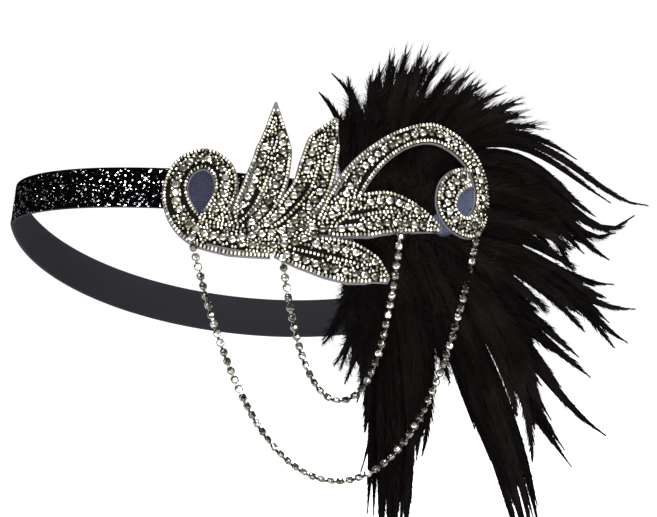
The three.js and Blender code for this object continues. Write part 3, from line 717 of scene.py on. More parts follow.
@dataclass
class HeadBand:
    """The elastic loop: glitter outside, smooth inside, with a folded rib along both edges.

    Args:
        loop: the loop that it follows.
        steps: sections round the loop.
        rib: height of the rolled edge over the face.
        flakes: number of loose glitter flakes on the outside.
        flake_size: a flake's width in millimetres.
        seed: fixed seed of the flakes.
    """

    loop: Loop
    steps: int = 360
    rib: float = 0.12 * MM
    flakes: int = 2800
    flake_size: float = 0.42
    seed: int = 7

    def build(self) -> None:
        """Makes the band and its glitter."""
        half, thick = self.loop.band / 2, self.loop.thick / 2
        angles = np.linspace(0, 2 * math.pi, self.steps, endpoint=False)
        lower = [
            (-thick, -half + 0.5 * MM), (-thick + 0.2 * MM, -half), (thick - 0.2 * MM, -half),
            (thick, -half + 0.5 * MM), (thick - self.rib, -half + 1.4 * MM),
        ]
        outline = lower + [(offset, -up) for offset, up in reversed(lower)]
        level = [
            np.column_stack([self.loop.at(angles, offset), np.full(self.steps, up)]) for offset, up in outline
        ]
        rings = np.stack(level, axis=1)
        sides = len(outline)
        places = self.loop.turn(rings.reshape(-1, 3))
        faces, slots = [], []
        for i in range(self.steps):
            j = (i + 1) % self.steps
            for k in range(sides):
                n = (k + 1) % sides
                faces.append([i * sides + k, j * sides + k, j * sides + n, i * sides + n])
                slots.append(0 if 2 <= k <= 6 else 1)
        cloths = [Finishes.ELASTIC_OUTSIDE, Finishes.ELASTIC_INSIDE]
        band = mesh_object("elastic_band", places, faces, cloths, np.array(slots), smooth=True)
        report(band, "head_band")
        self.glitter()

    def glitter(self) -> None:
        """Scatters flakes that lie nearly flat on the outside of the band."""
        rng = np.random.default_rng(self.seed)
        angle = rng.uniform(0, 2 * math.pi, self.flakes)
        up = rng.uniform(-0.46, 0.46, self.flakes) * self.loop.band
        ring = self.loop.at(angle, self.loop.thick / 2 - self.rib + 0.03 * MM)
        ahead = self.loop.at(angle, self.loop.thick / 2 + 1 * MM)
        facing = np.column_stack([ahead - ring, np.zeros(self.flakes)])
        facing /= np.linalg.norm(facing, axis=1, keepdims=True)
        facing += rng.normal(0, 0.35, facing.shape)
        places = self.loop.turn(np.column_stack([ring, up]))
        scatter = Scatter("scatter_glitter", Parts.flake(), Finishes.CUP, self.seed)
        share = self.flake_size * rng.uniform(0.6, 1.15, self.flakes)
        along = np.tile([1.0, 0, 0], (self.flakes, 1))
        flakes = scatter.over("glitter_flakes", places, self.loop.turn(facing), along, share)
        report(flakes)


# Applique


class Kind(Enum):
    """What a row of a motif is made of, with its pitch and size in millimetres."""

    STONE = (4.1, 3.5)
    BEAD = (1.7, 1.7)
    BARE = (0.7, 1.2)
    # Rows kept free of beads, where the near-black top shows through as painted shadow lines between raised rows.
    SHADE_GAP = (0.6, 0.7)

    @property
    def pitch(self) -> float:
        """Distance between neighbours, in metres."""
        return self.value[0] * MM

    @property
    def size(self) -> float:
        """Diameter in millimetres."""
        return self.value[1]


@dataclass(frozen=True)
class Row:
    """A row of beads or stones that follows a motif's spine.

    Args:
        kind: what it is made of.
        side: place across the motif, from -1 at its right edge to 1 at its left.
        inset: distance kept from the edge on top of that, in metres.
        start: share of the spine where it starts.
        stop: share of the spine where it stops.
    """

    kind: Kind
    side: float
    inset: float = 0.0
    start: float = 0.0
    stop: float = 1.0


EDGE = 0.85 * MM
SCROLL_ROWS = (
    Row(Kind.BEAD, 1, EDGE), Row(Kind.BEAD, -1, EDGE, 0.02, 0.97),
    Row(Kind.STONE, 0.0, 0.0, 0.03, 0.94),
)
STEM_ROWS = SCROLL_ROWS + (
    Row(Kind.BARE, 0.66, 0.0, 0.0, 0.16), Row(Kind.SHADE_GAP, 0.52, 0.0, 0.3, 0.42),
    Row(Kind.SHADE_GAP, -0.56, 0.0, 0.22, 0.78),
)
ARC_ROWS = SCROLL_ROWS + (Row(Kind.BARE, 0.68, 0.0, 0.08, 0.24), Row(Kind.SHADE_GAP, -0.56, 0.0, 0.12, 0.36))
LEAF_ROWS = (
    Row(Kind.BEAD, 1, EDGE, 0.0, 0.96), Row(Kind.BEAD, -1, EDGE, 0.0, 0.96),
    Row(Kind.STONE, 0.52, 0.0, 0.06, 0.8), Row(Kind.STONE, -0.52, 0.0, 0.1, 0.86),
    Row(Kind.BEAD, 0.0, 0.0, 0.05, 0.7),
    Row(Kind.SHADE_GAP, 0.17, 0.0, 0.12, 0.5), Row(Kind.SHADE_GAP, -0.17, 0.0, 0.1, 0.34),
)
TALL_ROWS = LEAF_ROWS + (Row(Kind.BARE, 0.76, 0.0, 0.25, 0.7), Row(Kind.BARE, -0.1, 0.0, 0.3, 0.6))
CLUSTER_ROWS = (
    Row(Kind.STONE, 0.55, 0.0, 0.0, 1.0), Row(Kind.STONE, 0.0, 0.0, 0.05, 1.0),
    Row(Kind.STONE, -0.55, 0.0, 0.0, 1.0),
)


@dataclass(frozen=True)
class Motif:
    """A scroll or leaf of the applique.

    Args:
        node: the CAD node that it stands for.
        at: shares of the applique's length along the band and of its height, along the spine.
        wide: half widths there, as shares of the height.
        rows: its rows of beads and stones.
    """

    node: str
    at: Tuple[Tuple[float, float], ...]
    wide: Tuple[float, ...]
    rows: Tuple[Row, ...]


MOTIFS = (
    Motif(
        "centre_cluster",
        ((0.0, -0.3), (0.07, -0.285), (0.14, -0.255), (0.2, -0.215)),
        (0.035, 0.065, 0.07, 0.045), CLUSTER_ROWS,
    ),
    Motif(
        "left_scroll",
        (
            (0.09, -0.335), (-0.03, -0.3), (-0.135, -0.262), (-0.19, -0.158), (-0.212, -0.02),
            (-0.189, 0.1), (-0.135, 0.148), (-0.083, 0.1), (-0.063, -0.01), (-0.078, -0.115), (-0.1, -0.175),
        ),
        (0.045, 0.085, 0.076, 0.074, 0.063, 0.06, 0.058, 0.06, 0.06, 0.058, 0.05), STEM_ROWS,
    ),
    Motif(
        "left_scroll", ((-0.15, -0.2), (-0.11, -0.19), (-0.06, -0.185), (-0.02, -0.17)),
        (0.03, 0.045, 0.05, 0.03), (),
    ),
    Motif(
        "tall_leaf",
        ((-0.055, -0.27), (-0.01, -0.195), (0.024, -0.1), (0.052, 0.06), (0.064, 0.24), (0.055, 0.512)),
        (0.03, 0.075, 0.105, 0.11, 0.092, 0.003), TALL_ROWS,
    ),
    Motif(
        "second_leaf",
        ((0.055, -0.245), (0.11, -0.17), (0.152, -0.075), (0.183, 0.03), (0.196, 0.15), (0.209, 0.3),
        (0.238, 0.45)),
        (0.04, 0.08, 0.095, 0.097, 0.098, 0.085, 0.008), LEAF_ROWS,
    ),
    Motif(
        "arc_scroll",
        (
            (0.233, -0.16), (0.27, -0.05), (0.315, 0.14), (0.38, 0.3), (0.458, 0.418), (0.54, 0.474),
            (0.622, 0.443),
            (0.69, 0.365), (0.729, 0.25), (0.73, 0.12), (0.692, 0.01), (0.636, 0.004), (0.6, 0.07),
            (0.604, 0.18),
            (0.64, 0.26), (0.69, 0.3),
        ),
        (0.05, 0.078, 0.07, 0.056, 0.05, 0.056, 0.052, 0.05, 0.054, 0.056, 0.058, 0.06, 0.06, 0.065, 0.06, 0.045),
        ARC_ROWS,
    ),
    Motif(
        "right_leaf",
        ((0.185, -0.185), (0.26, -0.145), (0.34, -0.085), (0.42, -0.037), (0.5, -0.04), (0.592, -0.066)),
        (0.04, 0.085, 0.12, 0.118, 0.082, 0.01), LEAF_ROWS,
    ),
    Motif(
        "lower_leaf",
        ((0.1, -0.315), (0.17, -0.33), (0.25, -0.348), (0.32, -0.357), (0.38, -0.375), (0.436, -0.417)),
        (0.055, 0.09, 0.112, 0.115, 0.083, 0.01), LEAF_ROWS,
    ),
)


@dataclass
class Spine:
    """A centripetal curve through a motif's places, with its half width at each share.

    Args:
        motif: the motif.
        length: the applique's length along the band.
        height: the applique's height.
    """

    motif: Motif
    length: float
    height: float

    def sample(self, shares: np.ndarray) -> Tuple[np.ndarray, np.ndarray, np.ndarray]:
        """Places, left hand directions and half widths at shares of the table."""
        points = np.array(self.motif.at) * [self.length, self.height]
        points = np.vstack([2 * points[0] - points[1], points, 2 * points[-1] - points[-2]])
        spans = len(self.motif.at) - 1
        place = np.clip(shares, 0, 1) * spans
        low = np.minimum(place.astype(int), spans - 1)
        t = (place - low)[:, None]
        p0, p1, p2, p3 = (points[low + k] for k in range(4))
        pairs = ((p0, p1), (p1, p2), (p2, p3))
        d0, d1, d2 = (np.linalg.norm(b - a, axis=1)[:, None] ** 0.5 for a, b in pairs)
        t1 = ((p1 - p0) / d0 - (p2 - p0) / (d0 + d1) + (p2 - p1) / d1) * d1
        t2 = ((p2 - p1) / d1 - (p3 - p1) / (d1 + d2) + (p3 - p2) / d2) * d1
        c2, c3 = 3 * (p2 - p1) - 2 * t1 - t2, 2 * (p1 - p2) + t1 + t2
        spot = p1 + t1 * t + c2 * t**2 + c3 * t**3
        ahead = t1 + 2 * c2 * t + 3 * c3 * t**2
        ahead /= np.linalg.norm(ahead, axis=1, keepdims=True)
        left = np.column_stack([-ahead[:, 1], ahead[:, 0]])
        half = np.interp(place, np.arange(spans + 1), self.motif.wide) * self.height
        return spot, left, half

    def line(self, row: Row, steps: int = 400) -> Tuple[np.ndarray, np.ndarray]:
        """Evenly spaced places of a row, and its directions there."""
        shares = np.linspace(row.start, row.stop, steps)
        spot, left, half = self.sample(shares)
        offset = row.side * half - math.copysign(row.inset, row.side) * (abs(row.side) >= 1)
        if abs(row.side) >= 1:
            offset = np.sign(row.side) * np.maximum(half - row.inset, 0.0)
        path = spot + left * offset[:, None]
        gone = np.concatenate([[0.0], np.cumsum(np.linalg.norm(np.diff(path, axis=0), axis=1))])
        count = max(2, int(gone[-1] / row.kind.pitch) + 1)
        marks = np.linspace(0, gone[-1], count)
        places = np.column_stack([np.interp(marks, gone, path[:, k]) for k in range(2)])
        ways = np.gradient(places, axis=0)
        return places, ways / np.maximum(np.linalg.norm(ways, axis=1, keepdims=True), 1e-9)

    def outline(self, grow: float, steps: int) -> Tuple[np.ndarray, np.ndarray]:
        """Left and right edges of the motif, widened by grow."""
        spot, left, half = self.sample(np.linspace(0, 1, steps))
        return spot + left * (half + grow)[:, None], spot - left * (half + grow)[:, None]


@dataclass
class Applique:
    """The beaded patch: cloth backing, rows of stones in settings, and seed beads between them.

    Args:
        loop: the loop that it is bent round.
        length: along the band.
        height: up and down.
        margin: how far the backing shows past the beadwork.
        fill: size of the loose beads between the rows.
        seed: fixed seed of the loose beads.
    """

    loop: Loop
    length: float = 150 * MM
    height: float = 84 * MM
    margin: float = 0.35 * MM
    fill: float = 1.5 * MM
    seed: int = 21

    def build(self) -> None:
        """Makes the stones, their settings and the beads of every motif."""
        stone = Scatter("scatter_stones", Parts.stone(), Finishes.STONE, 3)
        setting = Scatter("scatter_settings", Parts.setting(), Finishes.SETTING, 3)
        bead = Scatter("scatter_beads", Parts.bead(), Finishes.BEAD, 5, spin=False)
        rng = np.random.default_rng(self.seed)
        taken = np.zeros((0, 3))
        for motif in MOTIFS:
            spine = Spine(motif, self.length, self.height)
            stones, beads, gaps = self.rows(spine, taken)
            taken = np.vstack([taken] + [made[:, [0, 1, 4]] for made in (stones, beads, gaps)])
            loose = self.loose(spine, taken, rng)
            taken = np.vstack([taken, loose[:, [0, 1, 4]]])
            beads = np.vstack([beads, loose])
            base = self.loop.backing
            stem = motif.node if motif.rows else f"{motif.node}_infill"
            for scatter, rows, lift, label in (
                (stone, stones, 0.55, "stones"), (setting, stones, 0.55, "settings"),
                (bead, beads, 0.75, "beads"),
            ):
                if not len(rows):
                    continue
                lifts = base + lift * MM + rng.uniform(-0.12, 0.12, len(rows)) * MM
                flat = np.column_stack([rows[:, :2], lifts])
                way = np.column_stack([rows[:, 2:4], np.zeros(len(rows))])
                along = self.loop.bend(flat + way * 1e-4) - self.loop.bend(flat)
                facing = self.loop.facing(flat)
                if scatter is not bead:
                    facing = facing + rng.normal(0, 0.05, facing.shape)
                piece = scatter.over(
                    f"{stem}_{label}", self.loop.bend(flat), facing, in_units(along), rows[:, 4] / MM
                )
                report(piece, motif.node)

    def rows(self, spine: Spine, taken: np.ndarray) -> Tuple[np.ndarray, np.ndarray, np.ndarray]:
        """Stones, beads and kept gaps of a motif's rows that are clear of what is already there.

        Returns:
            Three arrays with a line each of x, y, direction x, direction y and diameter.
        """
        out = {kind: np.zeros((0, 5)) for kind in Kind}
        for row in sorted(spine.motif.rows, key=lambda r: -r.kind.size):
            places, ways = spine.line(row)
            size = row.kind.size * MM
            for place, way in zip(places, ways):
                earlier = [made[:, [0, 1, 4]] for kind, made in out.items() if kind is not row.kind]
                others = np.vstack([taken] + earlier)
                if row.kind in (Kind.STONE, Kind.BEAD):
                    others = np.vstack([others, out[row.kind][:, [0, 1, 4]]])
                if len(others):
                    room = np.linalg.norm(others[:, :2] - place, axis=1) - 0.46 * (others[:, 2] + size)
                    if room.min() < 0:
                        continue
                out[row.kind] = np.vstack([out[row.kind], [*place, *way, size]])
        return out[Kind.STONE], out[Kind.BEAD], np.vstack([out[Kind.BARE], out[Kind.SHADE_GAP]])

    def loose(self, spine: Spine, taken: np.ndarray, rng: np.random.Generator) -> np.ndarray:
        """Seed beads that fill the rest of a motif, by throwing darts at its outline."""
        kept: List[np.ndarray] = []
        size = self.fill
        near = taken.copy()
        for _ in range(3500):
            share = rng.uniform(0.0, 0.97)
            spot, left, half = spine.sample(np.array([share]))
            place = spot[0] + left[0] * rng.uniform(-1, 1) * max(half[0] - size / 2, 0)
            room = np.linalg.norm(near[:, :2] - place, axis=1) - 0.45 * (near[:, 2] + size)
            if room.min() < 0:
                continue
            turn = rng.uniform(0, math.pi)
            kept.append(np.array([*place, math.cos(turn), math.sin(turn), size]))
            near = np.vstack([near, [*place, size]])
        return np.array(kept) if kept else np.zeros((0, 5))


@dataclass(frozen=True)
class Ground:
    """A spot of plain cloth that shows inside a scroll or between two motifs.

    Args:
        at: shares of the applique's length and height.
        radius: share of its height.
        finish: the cloth.
    """

    at: Tuple[float, float]
    radius: float
    finish: Finish


GROUNDS = (
    Ground((-0.135, -0.04), 0.13, Finishes.NAVY_CLOTH),
    Ground((0.665, 0.14), 0.12, Finishes.SATIN),
    Ground((0.59, -0.03), 0.065, Finishes.SATIN),
    Ground((0.1, -0.16), 0.12, Finishes.FELT),
    Ground((0.25, -0.2), 0.13, Finishes.FELT),
)


@dataclass
class Backing:
    """The applique's cloth: an organza covered plate under each motif, whose top under the beads is near-black
    cloth as painted shade, and plain cloth inside the scrolls.

    Args:
        applique: the patch that it carries.
        steps: sections along each motif.
        rim: share of a motif's width that the organza turns over at each edge.
        bare: share of a motif's length where the bare organza of its tip starts.
    """

    applique: Applique
    steps: int = 64
    rim: float = 0.045
    bare: float = 0.93

    def build(self) -> None:
        """Makes one plate for each motif and each spot of cloth, joined in one object."""
        loop, size = self.applique.loop, self.applique
        places: List[np.ndarray] = []
        faces: List[List[int]] = []
        slots: List[int] = []
        count = 0
        for motif in MOTIFS:
            spine = Spine(motif, size.length, size.height)
            left, right = spine.outline(size.margin, self.steps)
            rings = []
            for a, b in zip(left, right):
                inner_a, inner_b = a + (b - a) * self.rim, b + (a - b) * self.rim
                rings += [
                    (*a, 0.0), (*a, 0.75 * MM), (*inner_a, loop.backing), (*inner_b, loop.backing),
                    (*b, 0.75 * MM), (*b, 0.0),
                ]
            places.append(loop.bend(np.array(rings)))
            made = tube_faces(self.steps, 6)
            faces += [[count + k for k in f] for f in made]
            # Top faces before the bare tip take the near-black cloth, painted shade under the beads; the rest is
            # organza.
            slots += [4 if k % 6 == 2 and k < 6 * self.steps * self.bare else 0 for k in range(len(made))]
            count += len(rings)
            for row in (r for r in motif.rows if r.kind is Kind.BARE):
                strip, across = spine.line(row)
                across = np.column_stack([-across[:, 1], across[:, 0]]) * 0.5 * row.kind.size * MM
                edges = np.stack([strip - across, strip + across], axis=1).reshape(-1, 2)
                lifted = np.full(len(edges), loop.backing + 0.25 * MM)
                places.append(loop.bend(np.column_stack([edges, lifted])))
                made = [[2 * k, 2 * k + 1, 2 * k + 3, 2 * k + 2] for k in range(len(strip) - 1)]
                faces += [[count + k for k in f] for f in made]
                slots += [0] * len(made)
                count += len(edges)
        for ground in GROUNDS:
            centre = np.array(ground.at) * [size.length, size.height]
            spots = []
            for reach in (0.0, 0.5, 1.0):
                for k in range(32):
                    turn = 2 * math.pi * k / 32
                    spoke = np.array([math.cos(turn), math.sin(turn)])
                    spots.append((*(centre + reach * ground.radius * size.height * spoke), 0.7 * MM))
            spots += [(x, y, 0.0) for x, y, _ in spots[64:]]
            places.append(loop.bend(np.array(spots)))
            made = tube_faces(4, 32)
            faces += [[count + k for k in f] for f in made]
            slot = 1 if ground.finish is Finishes.NAVY_CLOTH else 2 if ground.finish is Finishes.SATIN else 3
            slots += [slot] * len(made)
            count += len(spots)
        cloths = [Finishes.ORGANZA, Finishes.NAVY_CLOTH, Finishes.SATIN, Finishes.FELT, Finishes.BEAD_SHADE_CLOTH]
        backing = mesh_object("applique_cloth", np.vstack(places), faces, cloths, np.array(slots))
        report(backing, "applique_backing")


# Cup chains


@dataclass
class CupChain:
    """A swag of rhinestone cup chain.

    Args:
        node: the CAD node that it stands for.
        start: its first end, as shares of the applique's length and height.
        stop: its other end.
        length: its real length.
        lean: degrees off plumb, to the plume's side.
        applique: the patch that it hangs from.
        cup: a cup's width in millimetres.
        depth: a cup's depth.
        pitch: from cup to cup.
        standoff: how far the ends stand off the beads.
        twist_at: shares of the length where the chain's twist is given.
        twist: the cups' turn about the chain there, in radians.
    """

    node: str
    start: Tuple[float, float]
    stop: Tuple[float, float]
    length: float
    lean: float
    applique: Applique
    cup: float = 3.5
    depth: float = 1.5 * MM
    pitch: float = 4.2 * MM
    standoff: float = 0.6 * MM
    twist_at: Tuple[float, ...] = (0.0, 0.22, 0.36, 0.5, 0.68, 0.85, 1.0)
    twist: Tuple[float, ...] = (0.0, 0.25, 0.85, 1.0, 0.9, 0.35, 0.0)

    def end(self, spot: Tuple[float, float]) -> np.ndarray:
        """Where a chain's end sits in the row frame."""
        loop = self.applique.loop
        out = loop.backing + loop.gap + loop.beads + self.standoff + self.depth / 2
        return loop.bend(np.array([spot[0] * self.applique.length, spot[1] * self.applique.height, out]))[0]

    def hang(self) -> Tuple[np.ndarray, np.ndarray]:
        """Evenly spaced places and directions on the catenary between the ends."""
        turn = Matrix.Rotation(math.radians(self.lean), 3, "Y")
        start, stop = (np.array(turn @ Vector(self.end(e))) for e in (self.start, self.stop))
        level = np.array([stop[0] - start[0], stop[1] - start[1], 0.0])
        span, rise = float(np.linalg.norm(level)), float(stop[2] - start[2])
        level /= span
        wanted = math.sqrt(self.length**2 - rise**2)
        low, high = span / 40, span * 40
        for _ in range(80):
            middle = math.sqrt(low * high)
            if 2 * middle * math.sinh(span / (2 * middle)) > wanted:
                low = middle
            else:
                high = middle
        shape = math.sqrt(low * high)
        lowest = span / 2 - shape * math.atanh(rise / self.length)
        count = int(self.length / self.pitch)
        arc = self.length * np.arange(count + 1) / count
        x = lowest + shape * np.arcsinh(arc / shape - math.sinh(lowest / shape))
        z = shape * (np.cosh((x - lowest) / shape) - math.cosh(lowest / shape))
        places = start + level * x[:, None] + np.array([0, 0, 1.0]) * z[:, None]
        ways = level + np.array([0, 0, 1.0]) * np.sinh((x - lowest) / shape)[:, None]
        ways /= np.linalg.norm(ways, axis=1, keepdims=True)
        back = np.array(turn.inverted())
        return places @ back.T, ways @ back.T

    def build(self) -> None:
        """Makes the cups, the stones in them and the bars between them."""
        places, ways = self.hang()
        level = np.column_stack([ways[:, 0], ways[:, 1], np.zeros(len(ways))])
        level /= np.linalg.norm(level, axis=1, keepdims=True)
        front = np.column_stack([level[:, 1], -level[:, 0], np.zeros(len(ways))])
        rng = np.random.default_rng(int(self.length * 1e5))
        along = np.linspace(0, 1, len(ways))
        sway = np.interp(along, self.twist_at, self.twist) + rng.normal(0, 0.16, len(ways))
        side = np.cross(front, ways)
        waver = rng.normal(0, 0.05, front.shape)
        facing = front * np.cos(sway)[:, None] + side * np.sin(sway)[:, None] + waver
        facing /= np.linalg.norm(facing, axis=1, keepdims=True)
        ones = np.ones(len(places))
        cup = Scatter("scatter_cups", self.cup_item(), Finishes.CHAIN_CUP, 11, spin=False)
        stone = Scatter("scatter_chain_stones", Parts.stone(), Finishes.CHAIN_STONE, 13)
        cups = cup.over(f"{self.node}_cups", places, facing, ways, ones)
        stones = stone.over(
            f"{self.node}_stones", places + facing * self.depth * 0.18, facing, ways, ones * (self.cup - 0.5)
        )
        bars = self.bars(places, facing)
        for piece in (cups, stones, bars):
            report(piece, self.node)

    def cup_item(self) -> bpy.types.Object:
        """A square cup with rounded corners, an open front and four claws folded over the stone."""
        half, deep = self.cup / 2 * MM, self.depth
        outline = []
        for corner in range(4):
            for k in range(4):
                angle = math.pi / 2 * corner + math.pi / 2 * (k - 1.5) / 4
                reach = half * (0.92 + 0.1 * abs(math.sin(2 * angle)))
                outline.append((reach * math.cos(angle), reach * math.sin(angle)))
        count, places = len(outline), []
        for share, out in ((0.75, -0.5), (1.0, -0.38), (1.0, 0.3), (0.93, 0.36), (0.86, 0.3), (0.84, -0.1)):
            places += [(share * x, share * y, out * deep) for x, y in outline]
        faces = tube_faces(6, count)
        for corner in range(4):
            angle = math.pi / 4 + math.pi / 2 * corner
            ax, ay = math.cos(angle), math.sin(angle)
            base = len(places)
            levels = (
                (0.97, 0.16, 0.2), (0.98, 0.16, 0.5), (0.62, 0.08, 0.62), (0.6, 0.08, 0.54), (0.86, 0.16, 0.4),
            )
            for reach, wide, out in levels:
                for sign in (-1, 1):
                    x = half * (reach * ax - sign * wide * ay)
                    places.append((x, half * (reach * ay + sign * wide * ax), out * deep))
            faces += [[base + 2 * k, base + 2 * k + 1, base + 2 * k + 3, base + 2 * k + 2] for k in range(4)]
        return Parts.hidden(mesh_object("cup_item", np.array(places), faces, [Finishes.CHAIN_CUP]))

    def bars(self, places: np.ndarray, facing: np.ndarray) -> bpy.types.Object:
        """The short links behind the cups."""
        corners, faces = [], []
        for i in range(len(places) - 1):
            a, b = places[i] - facing[i] * self.depth * 0.3, places[i + 1] - facing[i + 1] * self.depth * 0.3
            way = (b - a) / np.linalg.norm(b - a)
            side = np.cross(facing[i], way)
            base = len(corners)
            for spot in (a + way * 1.0 * MM, b - way * 1.0 * MM):
                for u, v in ((-1, -1), (1, -1), (1, 1), (-1, 1)):
                    corners.append(spot + side * u * 0.6 * MM + facing[i] * v * 0.3 * MM)
            faces += [[base + k for k in f] for f in tube_faces(2, 4)]
        return mesh_object(f"{self.node}_bars", np.array(corners), faces, [Finishes.CHAIN_CUP])


# Plume


@dataclass(frozen=True)
class Barbs:
    """How a kind of feather carries its barbs.

    Args:
        base: barb angle from the quill at the feather's base, in degrees.
        tip: the same at its tip.
        spacing: from barb to barb, in metres.
        width: a barb's width at its root, in metres.
        droop: how far the barbs wander.
        ragged: how uneven their lengths and angles are.
        closed: share of the web's width that is a closed vane.
        clumps: barbs that cling together, by number.
        profile: the web's half width along the feather, as shares of its widest.
    """

    base: float
    tip: float
    spacing: float
    width: float
    droop: float
    ragged: float
    closed: float
    clumps: int
    profile: Tuple[float, ...]


class Web(Enum):
    """The kinds of feather in the plume."""

    HACKLE = Barbs(40, 13, 0.6 * MM, 0.48 * MM, 0.2, 0.3, 0.6, 9, (0.5, 0.9, 1.0, 1.0, 0.9, 0.66, 0.12))
    UPRIGHT = Barbs(46, 20, 0.6 * MM, 0.3 * MM, 0.12, 0.5, 0.35, 5, (0.5, 0.8, 0.95, 1.0, 0.9, 0.7, 0.5))
    TAIL = Barbs(32, 8, 0.68 * MM, 0.55 * MM, 0.1, 0.12, 0.8, 14, (0.35, 0.75, 1.0, 1.0, 0.9, 0.68, 0.08))
    DOWN = Barbs(66, 30, 0.5 * MM, 0.26 * MM, 0.7, 0.9, 0.35, 4, (0.6, 0.95, 1.0, 1.0, 0.85, 0.6, 0.12))


@dataclass(frozen=True)
class Lock:
    """A bunch of feathers from one root.

    Args:
        root: shares of the applique's length and height, on the pad.
        tip: x and z in the front view, as shares of the plume's reach.
        bow: sideways bulge, as a share of its length, to the left of its way.
        back: how far the tip lies behind the root, as a share of its length.
        wide: half width as a share of the reach.
        web: how its barbs lie.
        count: number of feathers.
        flick: sag before the tip, which then turns up again, as a share of its length.
    """

    root: Tuple[float, float]
    tip: Tuple[float, float]
    bow: float
    back: float
    wide: float
    web: Web = Web.HACKLE
    count: int = 6
    flick: float = 0.0


